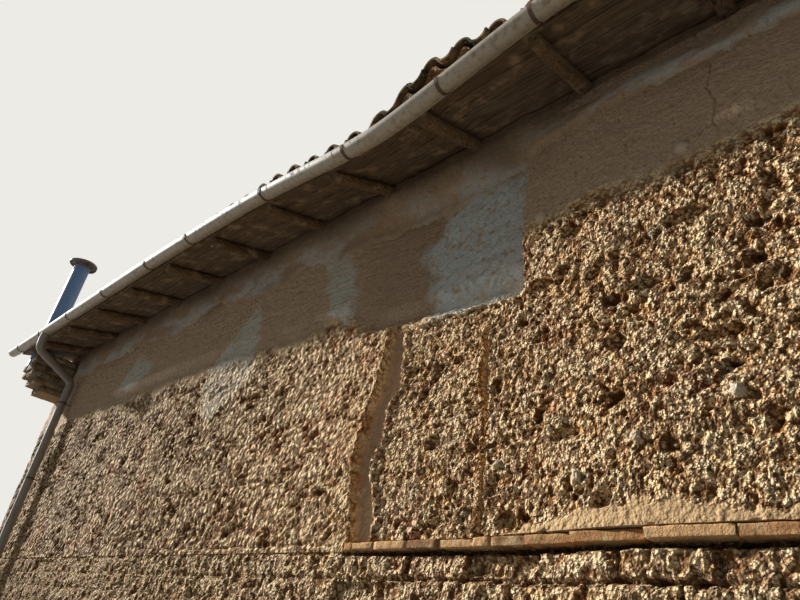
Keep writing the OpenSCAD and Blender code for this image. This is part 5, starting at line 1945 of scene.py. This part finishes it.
@dataclass
class Rainwater:
    """Half-round gutters on straps, and the round pipes that take their water down."""

    massing: Massing
    finishes: Finishes
    sag: EaveSag
    gutter_y: float = 3.970
    radius: float = 0.062
    sheet: float = 0.0022
    bead: float = 0.008
    overhang: float = 0.1285
    stop_t: float = 0.003
    pipe_r: float = 0.052
    pipe_x: float = -4.95
    pipe_off: float = 0.105
    outlet_x: float = -4.5
    outlet_rims: tuple[float, float] = (4.880, 4.875)
    clip_w: float = 0.025
    clip_z: tuple[float, ...] = (0.7, 2.0, 3.1, 4.15)
    strap_w: float = 0.026
    back_rim: tuple[float, float] = (4.875, 4.895)
    strap_x: tuple[float, ...] = (
        -5.5, -4.65, -3.7, -2.65, -1.58, -0.72, 0.52, 1.56, 2.42, 3.09, 3.99, 4.87, 5.6,
    )
    lap_x: tuple[float, ...] = (-2.7, 0.47, 1.43, 3.12)
    back_lap_x: tuple[float, ...] = (-2.9, 0.0, 2.9)

    def rim(self, x: Array, side: Side) -> Array:
        """Height of the gutter's rim along the eave."""
        half = self.massing.half_l + 0.13
        return self.sag.rim(x) if side is Side.FRONT else np.interp(x, (-half, half), self.back_rim)

    def outline(self, extra: float) -> Array:
        """Half-round sheet with a rolled bead on its outer rim, counterclockwise seen against X."""
        arc = circle(np.linspace(0, -math.pi, 19))
        centre = np.array([-self.radius - self.sheet - self.bead - extra * 0.5, 0.0])
        bead = centre + (self.bead + extra * 0.5) * circle(np.linspace(0, -1.6 * math.pi, 10))
        outer = (self.radius + self.sheet + extra) * arc
        return np.concatenate([outer, bead[1:], (self.radius * arc[::-1])[1:]]) * (-1, 1)

    def trough(self, x0: float, x1: float, side: Side, step: float, extra: float = 0.0) -> Shape:
        """Length of gutter between two places, following the rim."""
        x = spaced((x0, x1, step))
        return sweep(self.outline(extra), at(x, -self.gutter_y, self.rim(x, side)), (0, 0, 1))

    def stop(self, x: float, side: Side) -> Shape:
        """Half disc that closes the end of the trough."""
        half = (self.radius + self.sheet) * circle(np.linspace(-math.pi, 0, 17))
        ends = np.array([x - self.stop_t / 2, x + self.stop_t / 2])
        return sweep(half, at(ends, -self.gutter_y, self.rim(np.array([x, x]), side) - 0.001), (0, 0, 1))

    def strap(self, x: float, side: Side) -> Shape:
        """Strap: a flat section carried under the trough from bead to back, then up to the boards."""
        m, reach = self.massing, self.massing.face_y + self.massing.board_reach
        turn = np.linspace(-math.pi * 0.99, 0, 15)
        r, rim = self.radius + self.sheet + 0.003, self.rim(np.array([x]), side)[0]
        arc = at(x, -self.gutter_y + r * np.cos(turn), rim + r * np.sin(turn))
        foot = np.array([[x, -reach - 0.004, m.underside(reach) + 0.008]])
        if side is Side.FRONT:
            foot = self.sag.lowered(foot, m)
        rise = np.array([[x, arc[-1, 1], max(foot[0, 2] - 0.01, rim + 0.004)]])
        path = np.concatenate([arc, rise, foot + (0, 0.05, 0.014)])
        return sweep(oblong(self.strap_w, 0.004, 0.001, steps=1), path, (1, 0, 0), flat=True)

    def downpipe(self, side: Side) -> Shape:
        """Pipe from the outlet, swept back to the wall and down to a shoe, with a socket at each fitting."""
        wall_y = -self.massing.face_y - self.pipe_off
        rim = self.outlet_rims[0 if side is Side.FRONT else 1]
        route = [
            (self.outlet_x, -self.gutter_y, rim - 0.050), (self.outlet_x, -self.gutter_y, rim - 0.265),
            (self.pipe_x, wall_y, rim - 0.400), (self.pipe_x, wall_y, 0.230),
            (self.pipe_x, wall_y - 0.130, 0.120),
        ]
        path = dense(rounded(route, 0.085, steps=7), 0.075)
        length = run_length(path)
        sockets = (0.10, 0.36, 0.86, 1.12, 2.9, 4.3, length[-1] - 0.25)
        swell = sum(smooth(np.abs(length - s), 0.040, 0.030) for s in sockets)
        return tube(path, self.pipe_r + 0.004 * swell, self.pipe_r - 0.003, (0.31, 0.95, 0.02), sides=22)

    def clips(self) -> Shape:
        """Split rings round both straight pipes, each with a pin into the wall."""
        r, made = self.pipe_r + 0.002, []
        pin = 0.006 * circle(np.linspace(0, math.tau, 25)[:-1])[::3]
        half = np.array((0, 0, self.clip_w / 2))
        for z in self.clip_z:
            centre = np.array([self.pipe_x, -self.massing.face_y - self.pipe_off, z]) + half
            made.append(tube(np.array([centre - half, centre + half]), r + 0.002, r - 0.002, (0, 1, 0)))
            made.append(sweep(pin, np.array([centre + (0, r, 0), centre + (0, 0.115, 0)]), (0, 0, 1)))
        front = joined(made)
        return joined([front, Shape(front.points.copy(), front.faces).turned(Side.BACK.value)])

    def build(self) -> None:
        """Makes the gutters, their straps, the pipes and the clips."""
        end, f = self.massing.half_l + self.overhang, self.finishes
        for side in Side:
            step, lap_x = (0.10, self.lap_x) if side is Side.FRONT else (0.5, self.back_lap_x)
            sheet = [self.trough(-end, end, side, step)]
            sheet += [self.stop(x, side) for x in (-end + 0.004, end - 0.004)]
            sheet += [self.trough(x - 0.022, x + 0.022, side, 0.02, extra=0.0014) for x in lap_x]
            straps = [self.strap(x, side) for x in self.strap_x]
            for name, parts, finish, slot, node, crease in (
                ("gutter_sheet", sheet, f.gutter, "gutter_metal", "gutter", 50),
                ("gutter_straps", straps, f.straps, "strap_iron", "gutter_brackets", 40),
                ("rain_pipe", [self.downpipe(side)], f.pipe, "downpipe_plastic", "downpipe", 60),
            ):
                shape = joined(parts).turned(side.value)
                place(f"{side.word}_{name}", shape, finish, [f"{side.word}_{node}"], crease)
        place("pipe_clips", self.clips(), f.straps, ["downpipe_clips"], crease=40)


@dataclass
class Flue:
    """Sheet flue with a seam, its rusty rain cap, and the corbelled masonry that carries it."""

    massing: Massing
    finishes: Finishes
    wall: float = 0.003
    stone_l: float = 0.14
    stone_h: float = 0.095
    belly: float = 0.42
    cap_sides: int = 48
    swage_z: float = 5.55

    def cap(self) -> Shape:
        """Flat cone with a turned-down rim: an outline turned about the flue's axis, on three straps."""
        x, y, r = upright("flue_cap")
        top, (pipe_x, _, pipe_z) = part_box("flue_cap")[1].z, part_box("flue_pipe")[1]
        rim = top - 0.060
        profile = np.array([
            (0.004, top - 0.001), (r * 0.5, rim + 0.033), (r - 0.004, rim + 0.003), (r, rim),
            (r, rim - 0.03), (r - 0.003, rim - 0.03), (r - 0.004, rim - 0.004), (r * 0.5, rim + 0.029),
            (0.004, top - 0.003),
        ])
        n, k = self.cap_sides, len(profile)
        turn = np.linspace(0, math.tau, n, endpoint=False)[:, None]
        dent = 1 + 0.012 * np.sin(turn * 3 + 1) + 0.008 * np.sin(turn * 7)
        out, z = profile[:, 0], profile[:, 1]
        warp = 0.006 * np.sin(turn * 2) * out / r
        points = at(x + np.cos(turn) * out * dent, y + np.sin(turn) * out * dent, z + warp)
        i, j = np.arange(n)[:, None], np.arange(k)[None]
        beside, up = (i + 1) % n * k, (j + 1) % k
        quads = at(i * k + j, i * k + up, beside + up, beside + j).reshape(-1, 4)
        made = [Shape(points.reshape(-1, 3), [quads])]
        for angle in np.radians((30, 150, 270)):
            d = np.array([math.cos(angle), math.sin(angle), 0])
            foot = np.array([x, y, 0]) + d * (pipe_x - x + 0.001)
            steps = ((0, pipe_z - 0.08), (0, pipe_z + 0.04), (0.02, rim + 0.012))
            path = np.array([foot + d * away + (0, 0, z) for away, z in steps])
            made.append(sweep(oblong(0.024, 0.004, 0.001, 1), path, tuple(d)))
        return joined(made)

    def pipe(self) -> Shape:
        """Round sheet with two swaged rings, and a folded seam up its back."""
        low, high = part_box("flue_pipe")
        x, y, r = upright("flue_pipe")
        z = spaced((low.z, high.z, 0.045))
        swage = sum(smooth(np.abs(z - ring), 0.022, 0.008) for ring in (self.swage_z, high.z - 0.03))
        inner = r - self.wall - 0.001
        shell = tube(at(x, y, z), r - 0.001 + 0.003 * swage, inner, (0, 1, 0), sides=40)
        seam_at = np.array((0.6, -0.8, 0.0))
        seam = sweep(oblong(0.014, 0.005, 0.002, 1), at(x, y, z) + r * seam_at, seam_at)
        return joined([shell, seam])

    def corbel(self) -> Shape:
        """Rubble that swells out of the wall under the eave, with a ledge in its outer corner for the flue.

        The reach at a height is a quarter round: full over the belly, and down to nothing at the foot.
        """
        low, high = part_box("left_eave_corbel")
        pipe_low, pipe_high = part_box("flue_pipe")
        face, ledge = self.massing.face_y, pipe_low.z
        depth, notch = -low.y - face, -pipe_high.y - face
        top = float(self.massing.underside(np.array(low.y))) - 0.014
        below = np.linspace(low.z, ledge, round((ledge - low.z) / self.stone_h) + 1)
        above = np.linspace(ledge, top, max(1, round((top - ledge) / self.stone_h)) + 1)
        levels = np.concatenate([below, above[1:]])
        stones, hearts = [], []
        for number, (z0, z1) in enumerate(zip(levels, levels[1:])):
            rise = min(1.0, (z1 - low.z) / self.belly)
            reach = depth * math.sqrt(1 - (1 - rise) ** 2)
            zones = [(low.x, high.x, 0.0, reach)]
            if z1 > ledge + 0.01:
                zones = [(low.x, high.x, 0.0, notch), (pipe_high.x, high.x, notch, reach)]
            for x0, x1, y0, y1 in zones:
                hearts.append(((x0 + 0.02, -face - y1 + 0.02, z0), (x1 - 0.02, -face - y0 + 0.01, z1)))
                rows, columns = (max(1, round(span / self.stone_l)) for span in (y1 - y0, x1 - x0))
                for i, j in ((i, j) for i in range(rows) for j in range(columns)):
                    bite = 0.006 + 0.012 * lattice(i + 5 * number, j, 5003)
                    a, b = (x0 + (x1 - x0) * (j + k) / columns for k in (0, 1))
                    c, d = (y0 + (y1 - y0) * (i + k) / rows for k in (0, 1))
                    start = (a + bite, -face - d + bite, z0 + bite / 2)
                    stones.append((start, (b - bite / 2, -face - c - bite / 3, z1 - 0.004)))
        rubble = lumps(*np.array(stones).swapaxes(0, 1), 0.03, 0.016, 5001, facets=5)
        heart = lumps(*np.array(hearts).swapaxes(0, 1), 0.01, 0.006, 5101, facets=3)
        heart.marks["mortar"] = np.ones(len(heart.points))
        return joined([rubble, heart])

    def build(self, frame: dict) -> None:
        """Makes the pipe, the cap and the corbel, and repaints the collar."""
        f = self.finishes
        place("flue_tube", self.pipe(), f.flue, ["flue_pipe"], crease=50)
        place("flue_rain_cap", self.cap(), f.rust, ["flue_cap"], crease=45)
        place("corbel_masonry", self.corbel(), f.stones, ["left_eave_corbel"], crease=70)
        repaint(frame, "flue_collar", f.rust)


@dataclass
class DoorAndWindow:
    """Plank door and shutters in their frames, under timber lintels, all in the back wall."""

    finishes: Finishes
    gap: float = 0.001
    plank_t: float = 0.032
    shutter_t: float = 0.026

    def plank(self, low: Sequence[float], high: Sequence[float], axis: int, salt: int) -> Shape:
        """Sawn board between two corners: an oblong with eased edges and a slight wave, along one axis."""
        low, high = np.array(low, float), np.array(high, float)
        size = high - low
        t = np.linspace(low[axis], high[axis], max(2, int(size[axis] / 0.15)) + 1)
        path = np.tile((low + high) / 2, (len(t), 1))
        path[:, axis] = t
        wide, thick = size[2 - axis], size[1]
        section = oblong(wide, thick, min(0.004, thick / 3), 1)[None]
        swing = 1 + 0.006 * waves(t, 5, salt)[:, None, None]
        return sweep(section * swing, path, (0, 1, 0)).tinted(lattice(salt, 2, 6))

    def frame_of(self, node: str, bar: float, sill: bool) -> Shape:
        """Frame from its node's box: two posts, a head, and a sill where it has one."""
        low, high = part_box(node)
        left, right = low.x + bar, high.x - bar
        made = [
            self.plank(low, (left, high.y, high.z), 2, 61),
            self.plank((right, low.y, low.z), high, 2, 62),
            self.plank((left, low.y, high.z - bar), (right, high.y, high.z), 0, 63),
        ]
        if sill:
            made.append(self.plank((left, low.y, low.z), (right, high.y, low.z + bar), 0, 64))
        return joined(made)

    def leaf(self, planks: int = 6, ledges: Sequence[float] = (0.36, 1.08, 1.80)) -> Shape:
        """Door leaf: upright planks outside and ledges inside."""
        low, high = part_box("door_leaf")
        width, face = (high.x - low.x) / planks, high.y - self.plank_t
        made = []
        for i in range(planks):
            left, right = low.x + i * width + self.gap, low.x + (i + 1) * width - self.gap
            made.append(self.plank((left, face, low.z), (right, high.y, high.z), 2, 71 + i))
        for z in ledges:
            made.append(self.plank((low.x + 0.03, low.y, z), (high.x - 0.03, face - 0.002, z + 0.12), 0, 81))
        return joined(made)

    def shutters(self) -> Shape:
        """Two shutters, each of two planks with two ledges."""
        low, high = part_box("window_shutter")
        middle, face, made = (low.x + high.x) / 2, high.y - self.shutter_t, []
        for x0, x1 in ((low.x, middle - self.gap), (middle + self.gap, high.x)):
            half = (x0 + x1) / 2
            for i, (a, b) in enumerate(((x0, half - self.gap), (half + self.gap, x1))):
                made.append(self.plank((a, face, low.z), (b, high.y, high.z), 2, 91 + i))
            for z in (low.z + 0.068, high.z - 0.128):
                made.append(self.plank((x0 + 0.02, low.y, z), (x1 - 0.02, face, z + 0.06), 0, 95))
        return joined(made)

    def build(self) -> None:
        """Makes the lintels, frames, door and shutters."""
        for node, salt in (("door_lintel", 51), ("window_lintel", 52)):
            beam = self.plank(*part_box(node), 0, salt)
            place(f"{node}_beam", beam, self.finishes.boards, [node], crease=40)
        for name, shape, node in (
            ("door_posts", self.frame_of("door_frame", 0.09, False), "door_frame"),
            ("window_bars", self.frame_of("window_frame", 0.06, True), "window_frame"),
            ("plank_door", self.leaf(), "door_leaf"),
            ("plank_shutters", self.shutters(), "window_shutter"),
        ):
            place(name, shape, self.finishes.joinery, [node], crease=40)


@dataclass(frozen=True)
class Studio:
    """Pale floor, soft key and fill lights, and the camera at the photograph's viewing angle."""

    camera_at: tuple[float, float, float] = (4.300, -5.800, 1.600)
    yaw_deg: float = 47.16
    pitch_deg: float = 30.65
    roll_deg: float = 8.40
    lens_mm: float = 27.69
    sensor_mm: float = 36.0
    key_along: tuple[float, float, float] = (2.8, 1.0, -1.23)
    key_strength: float = 7.8
    key_spread_deg: float = 2.5
    fill_along: tuple[float, float, float] = (-0.45, -0.75, -0.8)
    fill_strength: float = 0.5
    fill_spread_deg: float = 50.0
    sky_strength: float = 0.15
    sky_tint: str = "#DAE0EA"
    pale: str = "#EDEBE6"
    floor_pale: str = "#D3D1CC"
    floor_shade: str = "#82807C"
    floor_reach: float = 60.0

    def camera(self) -> None:
        """Camera turned left by yaw from the front's normal, up by pitch, and rolled about its own axis."""
        yaw, pitch, roll = (math.radians(a) for a in (self.yaw_deg, self.pitch_deg, self.roll_deg))
        turn = Matrix.Rotation(yaw, 4, "Z") @ Matrix.Rotation(math.pi / 2 + pitch, 4, "X")
        data = bpy.data.cameras.new("viewpoint")
        data.lens, data.sensor_width = self.lens_mm, self.sensor_mm
        data.clip_start, data.clip_end = 0.05, 200.0
        camera = added("viewpoint", data)
        camera.matrix_world = Matrix.Translation(self.camera_at) @ (turn @ Matrix.Rotation(roll, 4, "Z"))
        bpy.context.scene.camera = camera

    def sun(self, name: str, along: Sequence[float], strength: float, spread_deg: float) -> None:
        """Distant lamp whose light travels along a direction, softened by its spread."""
        lamp = bpy.data.lights.new(name, "SUN")
        lamp.energy, lamp.angle = strength, math.radians(spread_deg)
        ahead = -np.array(along, float) / np.linalg.norm(along)
        side = np.cross((0, 0, 1), ahead)
        side /= np.linalg.norm(side)
        added(name, lamp).matrix_world = Matrix(at(side, np.cross(ahead, side), ahead).tolist()).to_4x4()

    def shown(self, tree: bpy.types.NodeTree) -> Socket:
        """1 on rays that show the studio, straight, mirrored or through glass, and 0 on the rest."""
        rays = tree.nodes.new("ShaderNodeLightPath")
        share = rays.outputs["Is Camera Ray"]
        for other in ("Is Glossy Ray", "Is Transmission Ray"):
            larger = tree.nodes.new("ShaderNodeMath")
            larger.operation = "MAXIMUM"
            tree.links.new(share, larger.inputs[0])
            tree.links.new(rays.outputs[other], larger.inputs[1])
            share = larger.outputs[0]
        return share

    def surroundings(self) -> None:
        """World and floor, which are pale where they show and dimmer where they only light the house."""
        world = bpy.data.worlds.new("studio")
        bpy.context.scene.world = world
        world.use_nodes = True
        tree = world.node_tree
        backdrop = tree.nodes["Background"]
        backdrop.inputs["Strength"].default_value = 1.0
        level = tree.nodes.new("ShaderNodeMix")
        level.data_type = "RGBA"
        level.inputs[6].default_value = [self.sky_strength * part for part in linear(self.sky_tint)]
        level.inputs[7].default_value = linear(self.pale)
        tree.links.new(self.shown(tree), level.inputs[0])
        tree.links.new(level.outputs[2], backdrop.inputs["Color"])
        mesh, reach = bpy.data.meshes.new("studio_floor"), self.floor_reach
        corners = [(x * reach, y * reach, 0) for x, y in ((-1, -1), (1, -1), (1, 1), (-1, 1))]
        mesh.from_pydata(corners, [], [range(4)])
        g = Graph("pale_floor", roughness=0.9, specular=0.1)
        mesh.materials.append(g.done(g.mixed(self.floor_shade, self.floor_pale, self.shown(g.tree))))
        added("studio_floor", mesh)

    def build(self) -> None:
        """Sets up the whole studio."""
        self.camera()
        self.sun("key", self.key_along, self.key_strength, self.key_spread_deg)
        self.sun("fill", self.fill_along, self.fill_strength, self.fill_spread_deg)
        self.surroundings()
        bpy.context.scene.view_settings.view_transform = "Standard"


def main() -> None:
    """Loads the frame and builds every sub-assembly round it."""
    logging.basicConfig(level=logging.INFO, format="%(message)s")
    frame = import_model()
    massing, finishes, sag = Massing.measured(), Finishes.mixed(), EaveSag()
    Studio().build()
    walls = EarthWalls(massing, finishes)
    walls.build()
    LimeCoats(massing, finishes, walls.front).build()
    Plinth(massing, finishes).build()
    StringCourse(massing, finishes, walls.front).build()
    EaveTimber(massing, finishes, sag).build()
    TileRoof(massing, finishes, sag).build()
    Rainwater(massing, finishes, sag).build()
    Flue(massing, finishes).build(frame)
    DoorAndWindow(finishes).build()
    for node in ("wall_plates", "ridge_log", "roof_trusses"):
        repaint(frame, node, finishes.boards)
    for node in ("front_eave_fill", "back_eave_fill"):
        repaint(frame, node, finishes.packed_earth)


if __name__ == "__main__":
    main()
